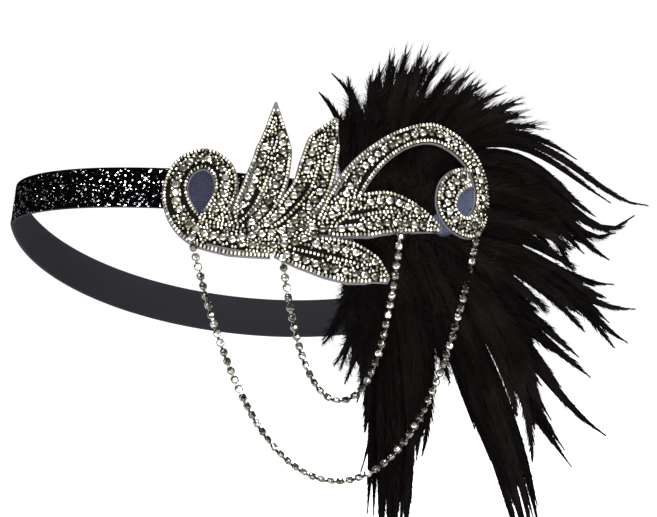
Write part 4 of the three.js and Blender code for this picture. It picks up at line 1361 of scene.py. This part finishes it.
LOCKS = (
    # Two thin sprigs, a dark feather and the soft tuft beside them
    Lock((0.285, 0.125), (-0.268, 0.577), -0.12, 0.42, 0.026, Web.TAIL, 1),
    Lock((0.3, 0.13), (-0.211, 0.665), -0.19, 0.44, 0.026, Web.TAIL, 1),
    Lock((0.285, 0.12), (-0.148, 0.504), 0.0, 0.36, 0.04, Web.HACKLE, 4),
    Lock((0.32, 0.13), (-0.13, 0.6), -0.04, 0.42, 0.08, Web.DOWN, 9),
    Lock((0.35, 0.13), (-0.05, 0.66), 0.0, 0.45, 0.07, Web.DOWN, 9),
    # The upright feathers
    Lock((0.37, 0.13), (0.055, 0.78), 0.02, 0.43, 0.05, Web.UPRIGHT),
    Lock((0.38, 0.13), (0.13, 0.81), 0.03, 0.46, 0.055, Web.UPRIGHT),
    Lock((0.4, 0.13), (0.2, 0.8), 0.03, 0.43, 0.06, Web.UPRIGHT),
    Lock((0.42, 0.13), (0.285, 0.775), 0.04, 0.46, 0.06, Web.UPRIGHT),
    Lock((0.43, 0.13), (0.34, 0.7), 0.05, 0.43, 0.06, Web.UPRIGHT),
    Lock((0.44, 0.13), (0.41, 0.7), 0.05, 0.46, 0.06, Web.UPRIGHT),
    Lock((0.46, 0.13), (0.47, 0.65), 0.06, 0.43, 0.06, Web.UPRIGHT),
    Lock((0.47, 0.13), (0.56, 0.61), 0.09, 0.47, 0.06, Web.UPRIGHT),
    Lock((0.475, 0.13), (0.66, 0.565), 0.12, 0.44, 0.06, Web.UPRIGHT),
    Lock((0.48, 0.13), (0.76, 0.44), 0.15, 0.45, 0.07, Web.UPRIGHT, 9),
    # The long tails that arch over to the plume's side
    Lock((0.45, 0.13), (1.231, 0.096), 0.255, 0.55, 0.034, Web.TAIL, 3, 0.09),
    Lock((0.48, 0.13), (1.173, 0.043), 0.205, 0.57, 0.055, Web.TAIL, 6, 0.17),
    Lock((0.49, 0.13), (1.078, -0.034), 0.205, 0.6, 0.055, Web.TAIL, 6, 0.13),
    Lock((0.5, 0.13), (1.05, -0.15), 0.2, 0.6, 0.055, Web.TAIL, 5, 0.05),
    Lock((0.53, 0.12), (0.845, -0.155), 0.22, 0.55, 0.08, Web.HACKLE, 7),
    # The side, between the tails and the low feathers
    Lock((0.57, 0.1), (0.84, -0.05), 0.14, 0.5, 0.09, Web.HACKLE, 7),
    Lock((0.6, 0.02), (0.86, -0.19), 0.08, 0.45, 0.08, Web.HACKLE, 7),
    Lock((0.6, 0.02), (1.044, -0.267), 0.0, 0.42, 0.04, Web.TAIL, 3, 0.03),
    Lock((0.62, -0.02), (1.006, -0.323), 0.0, 0.38, 0.05, Web.HACKLE, 4),
    # The low side, from thin single feathers to a broad blunt one
    Lock((0.63, -0.05), (1.14, -0.379), 0.01, 0.36, 0.045, Web.TAIL, 3, 0.04),
    Lock((0.63, -0.07), (1.107, -0.525), 0.09, 0.34, 0.042, Web.TAIL, 4, 0.03),
    Lock((0.62, -0.1), (1.045, -0.544), 0.1, 0.34, 0.042, Web.HACKLE, 6),
    Lock((0.61, -0.11), (0.748, -0.46), -0.01, 0.36, 0.08, Web.HACKLE, 9),
    Lock((0.6, -0.12), (0.781, -0.568), -0.03, 0.34, 0.06, Web.HACKLE, 5),
    Lock((0.6, -0.12), (0.935, -0.678), -0.01, 0.34, 0.045, Web.TAIL, 5),
    Lock((0.58, -0.12), (1.006, -0.942), -0.008, 0.3, 0.045, Web.TAIL, 4, 0.02),
    Lock((0.56, -0.12), (0.855, -1.083), 0.008, 0.28, 0.04, Web.TAIL, 4, 0.01),
    Lock((0.56, -0.12), (0.64, -0.74), 0.05, 0.34, 0.1, Web.DOWN, 8),
    # The bundle below the plume's outer side
    Lock((0.5, -0.12), (0.55, -1.184), 0.005, 0.2, 0.038, Web.TAIL, 6),
    Lock((0.53, -0.12), (0.67, -1.04), 0.11, 0.2, 0.07, Web.HACKLE, 10),
    Lock((0.5, -0.12), (0.66, -1.42), 0.03, 0.17, 0.04, Web.TAIL, 9),
    Lock((0.52, -0.12), (0.675, -1.42), 0.05, 0.17, 0.04, Web.TAIL, 9),
    Lock((0.48, -0.12), (0.3, -0.7), 0.0, 0.24, 0.09, Web.DOWN, 9),
    Lock((0.5, -0.12), (0.41, -0.76), 0.04, 0.24, 0.07, Web.DOWN, 8),
    Lock((0.53, -0.12), (0.51, -0.55), 0.04, 0.3, 0.13, Web.DOWN, 9),
    # The bundle between the chains, and the soft underside
    Lock((0.34, -0.12), (-0.09, -1.087), 0.08, 0.19, 0.03, Web.TAIL, 4),
    Lock((0.37, -0.12), (0.0, -1.42), 0.02, 0.17, 0.04, Web.TAIL, 8),
    Lock((0.38, -0.12), (0.025, -1.42), 0.03, 0.17, 0.05, Web.TAIL, 11),
    Lock((0.39, -0.12), (0.045, -1.42), 0.05, 0.17, 0.04, Web.TAIL, 8),
    Lock((0.43, -0.12), (0.11, -1.08), 0.09, 0.18, 0.05, Web.HACKLE, 11),
    Lock((0.4, -0.12), (0.075, -1.2), 0.07, 0.18, 0.05, Web.TAIL, 9),
    Lock((0.35, -0.12), (-0.075, -0.9), 0.02, 0.2, 0.055, Web.HACKLE, 8),
    Lock((0.3, -0.12), (-0.26, -0.526), 0.15, 0.24, 0.05, Web.DOWN, 10),
    Lock((0.31, -0.12), (-0.21, -0.62), 0.13, 0.22, 0.06, Web.DOWN, 11),
    Lock((0.32, -0.12), (-0.165, -0.7), 0.1, 0.2, 0.07, Web.DOWN, 11),
    Lock((0.34, -0.12), (-0.11, -0.78), 0.06, 0.2, 0.06, Web.DOWN, 9),
    Lock((0.38, -0.12), (0.07, -0.77), 0.03, 0.27, 0.14, Web.DOWN, 10),
    Lock((0.44, -0.12), (0.23, -0.64), 0.04, 0.23, 0.12, Web.DOWN, 10),
)


@dataclass
class Strands:
    """Collects triangles, with a tint for each corner, into one mesh. The tint is each corner's share of the
    painted highlight colour.
    """

    places: List[np.ndarray] = field(default_factory=list)
    faces: List[np.ndarray] = field(default_factory=list)
    tints: List[np.ndarray] = field(default_factory=list)
    count: int = 0

    def add(self, places: np.ndarray, faces: np.ndarray, tint: np.ndarray) -> None:
        """Adds places, faces that number them from 0, and a tint for each place."""
        self.places.append(places.reshape(-1, 3))
        self.faces.append(faces.reshape(-1, 3) + self.count)
        self.tints.append(np.broadcast_to(tint, places.reshape(-1, 3).shape[:1]).astype(np.float32))
        self.count += len(places.reshape(-1, 3))

    def build(self, name: str, finish: Finish) -> bpy.types.Object:
        """Makes the mesh object."""
        faces = np.vstack(self.faces).tolist()
        made = mesh_object(name, np.vstack(self.places), faces, [finish], smooth=True)
        tint = made.data.attributes.new("tint", "FLOAT", "POINT")
        tint.data.foreach_set("value", np.concatenate(self.tints))
        return made


@dataclass
class Feather:
    """One feather: a quill, a closed inner vane on both sides, and barbs that reach past it.

    Args:
        way: N by 3 places along the quill.
        across: N by 3 directions of the web's plane.
        half: half width of the web at its widest.
        barbs: how its barbs lie.
        rng: the plume's random numbers.
    """

    way: np.ndarray
    across: np.ndarray
    half: float
    barbs: Barbs
    rng: np.random.Generator

    def outline(self, share: np.ndarray) -> np.ndarray:
        """The web's half width along the feather, as a share of its widest."""
        profile = self.barbs.profile
        return np.interp(share, np.linspace(0, 1, len(profile)), profile)

    @staticmethod
    def at(share: np.ndarray, table: np.ndarray) -> np.ndarray:
        """A table's rows at shares of the feather's length."""
        marks = np.linspace(0, 1, len(table))
        return np.column_stack([np.interp(share, marks, table[:, k]) for k in range(3)])

    def up(self) -> np.ndarray:
        """Directions out of the web's plane."""
        out = np.cross(np.gradient(self.way, axis=0), self.across)
        return out / np.maximum(np.linalg.norm(out, axis=1, keepdims=True), 1e-9)

    def grow(self, strands: Strands) -> None:
        """Adds the feather's quill, vane and barbs."""
        length = float(np.linalg.norm(np.diff(self.way, axis=0), axis=1).sum())
        tint = self.rng.uniform(0, 1)
        self.quill(strands, tint)
        if self.barbs.closed:
            self.vane(strands, self.half * self.barbs.closed, tint)
        for sign in (-1, 1):
            self.side(strands, int(length / self.barbs.spacing), sign, tint)

    def side(self, strands: Strands, count: int, sign: int, tint: float) -> None:
        """Adds one side's barbs, in clumps that close up at their ends."""
        kind, rng = self.barbs, self.rng
        share = np.clip((np.arange(count) + rng.uniform(0, 1, count)) / count, 0.02, 0.995)
        clump = np.arange(count) / kind.clumps + rng.uniform(0, 1)
        inside = clump % 1 - 0.5
        which = clump.astype(int)
        lean = rng.normal(0, 5, which.max() + 1)[which] - 14 * inside * min(kind.ragged * 2, 1)
        fanned = kind.ragged * (lean + rng.normal(0, 4, count))
        angle = np.radians(kind.base + (kind.tip - kind.base) * share + fanned)
        longer = rng.normal(0, 0.2, which.max() + 1)[which] + rng.normal(0, 0.1, count)
        reach = self.half * self.outline(share) * (1 + kind.ragged * longer)
        reach = np.minimum(np.maximum(reach, 0.5 * MM) / np.maximum(np.sin(angle), 0.24), 8.5 * MM)
        self.ribbons(strands, share, angle, reach, sign, tint)

    def ribbons(
        self, strands: Strands, share: np.ndarray, angle: np.ndarray, reach: np.ndarray, sign: int, tint: float
    ) -> None:
        """Adds barbs as narrow tapered ribbons that bend towards the tip."""
        kind, rng = self.barbs, self.rng
        steps = 3
        root = self.at(share, self.way)
        past, before = (self.at(np.clip(share + step, 0, 1), self.way) for step in (0.02, -0.02))
        ahead = past - before
        ahead /= np.linalg.norm(ahead, axis=1, keepdims=True)
        side = self.at(share, self.across)
        side -= ahead * (side * ahead).sum(1, keepdims=True)
        side /= np.linalg.norm(side, axis=1, keepdims=True)
        up = np.cross(ahead, side)
        wander = rng.normal(0, kind.droop, (len(share), 2))
        rows = []
        for k in range(steps + 1):
            t = k / steps
            turn = angle * (1 - 0.35 * t) + wander[:, 0] * 0.5 * t
            lift = np.minimum(0.1 + wander[:, 1] * 0.5, 0.25) * t * t
            way = ahead * np.cos(turn)[:, None] + side * (sign * np.sin(turn))[:, None] + up * lift[:, None]
            rows.append(root + reach[:, None] * t * way)
        line = np.stack(rows, axis=1)
        flow = np.gradient(line, axis=1)
        flow /= np.maximum(np.linalg.norm(flow, axis=2, keepdims=True), 1e-9)
        tip_up = up[:, None, :] + side[:, None, :] * rng.normal(0, 0.5, (len(share), 1, 1))
        flat = np.cross(flow, tip_up)
        flat /= np.maximum(np.linalg.norm(flat, axis=2, keepdims=True), 1e-9)
        taper = np.array([1.0 - 0.8 * (k / steps) ** 2 for k in range(steps + 1)])
        shift = flat * (0.5 * kind.width * taper)[None, :, None]
        places = np.stack([line - shift, line + shift], axis=2).reshape(len(share), -1, 3)
        quads = ribbon_faces(steps)
        each = places.shape[1]
        faces = (np.arange(len(share))[:, None] * each + quads[None, :]).reshape(-1, 3)
        # Each barb's share of the painted highlight colour, random from feather to feather and from barb to barb.
        shade = np.repeat(np.clip(tint * 0.5 + rng.uniform(0, 0.7, len(share)) ** 2, 0, 1), each)
        strands.add(places, faces, shade)

    def vane(self, strands: Strands, wide: float, tint: float) -> None:
        """Adds the closed inner part of the web, as two strips that droop a little from the quill."""
        count = len(self.way)
        half = (wide * self.outline(np.linspace(0, 1, count)))[:, None]
        shift, drop = self.across * half, self.up() * half * 0.12
        places = np.stack([self.way - shift - drop, self.way, self.way + shift - drop], axis=1)
        faces = []
        for i in range(count - 1):
            for k in range(2):
                a, b, c, d = 3 * i + k, 3 * i + k + 1, 3 * i + k + 4, 3 * i + k + 3
                faces += [[a, b, c], [a, c, d]]
        strands.add(places, np.array(faces), np.full(count * 3, tint * 0.3))

    def quill(self, strands: Strands, tint: float) -> None:
        """Adds the tapered quill."""
        count, sides = len(self.way), 4
        radius = np.linspace(0.36, 0.07, count) * MM * (0.6 if self.barbs is Web.DOWN.value else 1.0)
        up = self.up()
        rings = []
        for k in range(sides):
            turn = 2 * math.pi * k / sides
            rings.append(self.way + (self.across * math.cos(turn) + up * math.sin(turn)) * radius[:, None])
        faces = []
        for i in range(count - 1):
            for k in range(sides):
                n = (k + 1) % sides
                a, b, c, d = sides * i + k, sides * i + n, sides * i + sides + n, sides * i + sides + k
                faces += [[a, b, c], [a, c, d]]
        strands.add(np.stack(rings, axis=1), np.array(faces), np.full(count * sides, 0.2 + 0.4 * tint))


@dataclass
class Plume:
    """The feathers and the pad that they are glued to.

    Args:
        applique: the patch in front of them.
        reach: the plume's reach from its middle.
        centre: where its middle is, to the wearer's left.
        pad_stop: share of the applique's length where the pad stops.
        pad_height: the pad's height.
        steps: sections along a quill.
        fluff: number of loose down barbs on the pad's face.
        seed: fixed seed of the feathers.
    """

    applique: Applique
    reach: float = 100 * MM
    centre: float = 60 * MM
    pad_stop: float = 0.69
    pad_height: float = 25 * MM
    steps: int = 16
    fluff: int = 5000
    seed: int = 5

    def way(self, lock: Lock) -> Tuple[np.ndarray, np.ndarray, np.ndarray]:
        """Root, middle and end of a lock's centre line."""
        size = self.applique
        layer = -size.loop.gap - size.loop.pad / 2
        start = size.loop.bend(np.array([lock.root[0] * size.length, lock.root[1] * size.height, layer]))[0]
        height = size.loop.rise + lock.tip[1] * self.reach
        end = np.array([self.centre + lock.tip[0] * self.reach, start[1], height])
        long = float(np.linalg.norm(end - start))
        left = np.array([start[2] - end[2], 0.0, end[0] - start[0]])
        middle = (start + end) / 2 + left * 2 * lock.bow
        end[1] += lock.back * long
        middle[1] += 0.95 * lock.back * long
        return start, middle, end

    @staticmethod
    def region(lock: Lock) -> str:
        """The name of the object that a lock's feathers are joined in."""
        if lock.web is Web.DOWN:
            return "upper_down" if lock.tip[1] > 0 else "lower_down" if lock.tip[0] > 0 else "inner_down"
        if lock.tip[1] > 0.3:
            return "upright_feathers"
        if lock.tip[1] > -0.2:
            return "arching_feathers"
        return "side_feathers" if lock.tip[0] > 0.66 else "hanging_feathers"

    def build(self) -> None:
        """Makes the pad and every lock's feathers, in a few objects by where they lie."""
        rng = np.random.default_rng(self.seed)
        groups: Dict[str, Strands] = {}
        for lock in LOCKS:
            start, middle, end = self.way(lock)
            strands = groups.setdefault(self.region(lock), Strands())
            for k in range(lock.count):
                self.feather(lock, start, middle, end, k, rng).grow(strands)
        self.pad()
        groups["pad_down"] = self.down(rng)
        for name, strands in groups.items():
            piece = report(strands.build(name, Finishes.FEATHER), "feather_plume")

    def feather(
        self, lock: Lock, start: np.ndarray, middle: np.ndarray, end: np.ndarray, k: int,
        rng: np.random.Generator,
    ) -> Feather:
        """One feather of a lock. The first lies along its middle, and the others, shorter, lie beside it."""
        body = lock.wide * self.reach
        shortest, longest = (0.88, 1.0) if lock.tip[1] < -1.3 else (0.62, 0.93)
        if lock.web is Web.DOWN:
            shortest, longest = 0.45, 0.98
        long = 1.0 if k == 0 else rng.uniform(shortest, longest)
        long *= 0.92 if lock.web is Web.UPRIGHT else 1.0
        beside = 0.0 if k == 0 else (1 if k % 2 else -1) * rng.uniform(0.35, 0.95)
        t = np.linspace(0, long, self.steps)[:, None]
        way = start * (1 - t) ** 2 + 2 * middle * t * (1 - t) + end * t**2
        sag = np.array([end[2] - start[2], 0.0, start[0] - end[0]]) * lock.flick
        way = way + sag * 12.2 * t**4 * (1 - t)
        ahead = np.gradient(way, axis=0)
        ahead /= np.linalg.norm(ahead, axis=1, keepdims=True)
        side = np.column_stack([-ahead[:, 2], np.zeros(len(ahead)), ahead[:, 0]])
        side /= np.linalg.norm(side, axis=1, keepdims=True)
        fan = beside * body * (0.1 + 0.9 * np.sin(np.minimum(t / long * 1.9, 1.57)))
        curl = rng.normal(0, 0.3) * body * (k > 0) * (t / long) ** 2
        way = way + side * (fan + curl) + np.array([0, 1.0, 0]) * rng.uniform(-1, 1) * 1.2 * MM * (1 + 2 * t)
        roll = float(np.clip(rng.normal(0, 0.3), -0.35, 0.35))
        across = side * math.cos(roll) + np.cross(ahead, side) * math.sin(roll)
        half = {
            Web.DOWN: max(body * 0.75, 5 * MM), Web.TAIL: max(body * 0.65, 2.0 * MM),
            Web.HACKLE: max(body * 0.62, 2.8 * MM), Web.UPRIGHT: max(body * 0.8, 2.4 * MM),
        }[lock.web]
        return Feather(way, across, half, lock.web.value, rng)

    def down(self, rng: np.random.Generator) -> Strands:
        """The loose down on the pad's face, that shows inside the arc and between the leaves."""
        size, strands = self.applique, Strands()
        low, high = size.loop.pad_from + 2 * MM, self.pad_stop * size.length - 2 * MM
        x = rng.uniform(low, high, self.fluff)
        y = rng.uniform(-0.5, 0.5, self.fluff) * self.pad_height
        across = (x - (low + high) / 2) / (high - low)
        angle = np.arctan2(y / self.pad_height + 0.35, across) + rng.normal(0, 0.5, self.fluff)
        reach = rng.uniform(5, 13, self.fluff) * MM
        rise = rng.uniform(0.2, 0.8, self.fluff) * MM
        curve = rng.normal(0, 0.5, self.fluff)
        rows = []
        for t in np.linspace(0, 1, 5):
            turn = angle + curve * t
            lift = -size.loop.gap + rise * 4 * t * (1 - t) * 0.9
            spots = np.column_stack([x + reach * t * np.cos(turn), y + reach * t * np.sin(turn), lift])
            rows.append(size.loop.bend(spots))
        line = np.stack(rows, axis=1)
        flow = np.gradient(line, axis=1)
        flat = np.cross(flow, np.array([0.0, -1.0, 0.3]) + rng.normal(0, 0.4, (self.fluff, 1, 3)))
        flat /= np.maximum(np.linalg.norm(flat, axis=2, keepdims=True), 1e-9)
        shift = flat * (0.13 * MM * np.array([1, 0.95, 0.8, 0.6, 0.25]))[None, :, None]
        places = np.stack([line - shift, line + shift], axis=2).reshape(self.fluff, -1, 3)
        quads = ribbon_faces(4)
        faces = (np.arange(self.fluff)[:, None] * 10 + quads[None, :]).reshape(-1, 3)
        # Random shares of the painted highlight colour for the down.
        strands.add(places, faces, np.repeat(rng.uniform(0, 1, self.fluff) ** 2, 10))
        return strands

    def pad(self) -> None:
        """Makes the felt pad between the band and the backing."""
        size = self.applique
        low, high = size.loop.pad_from, self.pad_stop * size.length
        rear, front = -size.loop.gap - size.loop.pad, -size.loop.gap
        steps, rings = 24, []
        for i in range(steps):
            x = low + (high - low) * i / (steps - 1)
            half = self.pad_height / 2 * (0.6 if i in (0, steps - 1) else 1.0)
            rings += [(x, -half, rear), (x, half, rear), (x, half, front), (x, -half, front)]
        pad = mesh_object("plume_pad", size.loop.bend(np.array(rings)), tube_faces(steps, 4), [Finishes.PAD])
        report(pad, "feather_plume")


# Stage, light and camera


@dataclass
class Studio:
    """A plain white set with soft light, and the camera of the product picture.

    Args:
        floor: height of the floor.
        reach: radius of the floor.
        eye: the camera's place.
        lens: focal length in millimetres on a 36 mm sensor.
        ambient: strength of the world's own light.
    """

    floor: float = -0.17
    reach: float = 6.0
    eye: Tuple[float, float, float] = (0.0365, -1.1, -0.0134)
    lens: float = 135.0
    ambient: float = 0.18

    def build(self) -> None:
        """Makes the floor, the world, the lamps and the camera."""
        self.ground()
        self.sky()
        self.lamp("key", (-0.55, -1.0, 0.75), 0.6, 16.0)
        self.lamp("fill", (0.95, -0.8, 0.3), 0.5, 9.0)
        self.lamp("top", (0.1, 0.1, 1.0), 0.7, 12.0)
        self.lamp("low", (-0.2, -1.2, -0.12), 0.25, 3.0)
        self.lamp("sparkle", (0.1, -1.0, 0.5), 0.06, 3.0)
        camera = bpy.data.cameras.new("product_camera")
        camera.lens, camera.sensor_width = self.lens, 36.0
        holder = bpy.data.objects.new("product_camera", camera)
        holder.location = self.eye
        holder.rotation_euler = (math.pi / 2, 0.0, 0.0)
        bpy.context.scene.collection.objects.link(holder)
        bpy.context.scene.camera = holder
        bpy.context.scene.view_settings.view_transform = "Standard"

    def ground(self) -> None:
        """Makes the floor, which glows a little so that it meets the sky without a line."""
        turns = np.linspace(0, 2 * math.pi, 64, endpoint=False)
        level = np.full(64, self.floor)
        places = np.column_stack([self.reach * np.cos(turns), self.reach * np.sin(turns), level])
        white = Finish("studio_white", "ffffff", roughness=0.9)
        floor = mesh_object("studio_floor", places, [list(range(64))], [white])
        shader = floor.data.materials[0].node_tree.nodes["Principled BSDF"]
        shader.inputs["Emission Color"].default_value = (1, 1, 1, 1)
        shader.inputs["Emission Strength"].default_value = 1.0

    def sky(self) -> None:
        """Sets a world, white behind the headband and dim where it lights it, so that metal keeps its darks."""
        world = bpy.data.worlds.new("studio_world")
        world.use_nodes = True
        tree = world.node_tree
        seen = add_node(tree, "ShaderNodeLightPath").outputs["Is Camera Ray"]
        level = add_node(tree, "ShaderNodeMapRange", {"Value": seen, "To Min": self.ambient, "To Max": 1.05})
        shader = tree.nodes["Background"]
        shader.inputs["Color"].default_value = (1, 1, 1, 1)
        tree.links.new(level.outputs["Result"], shader.inputs["Strength"])
        bpy.context.scene.world = world

    def lamp(self, name: str, place: Tuple[float, float, float], size: float, watts: float) -> None:
        """Adds a square area light that faces the middle of the headband."""
        light = bpy.data.lights.new(name, "AREA")
        light.size, light.energy = size, watts
        holder = bpy.data.objects.new(name, light)
        holder.location = place
        holder.rotation_euler = (Vector((0.03, 0, 0)) - Vector(place)).to_track_quat("-Z", "Y").to_euler()
        bpy.context.scene.collection.objects.link(holder)


def main() -> None:
    """Builds the headband, the stage, the light and the camera."""
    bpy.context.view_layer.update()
    loop = Loop()
    applique = Applique(loop)
    HeadBand(loop).build()
    applique.build()
    Backing(applique).build()
    CupChain("outer_chain", (-0.145, -0.32), (0.7, -0.025), 264 * MM, 0.8, applique).build()
    CupChain("inner_chain", (0.12, -0.392), (0.452, -0.12), 154 * MM, 0.0, applique).build()
    Plume(applique).build()
    Studio().build()


if __name__ == "__main__":
    main()
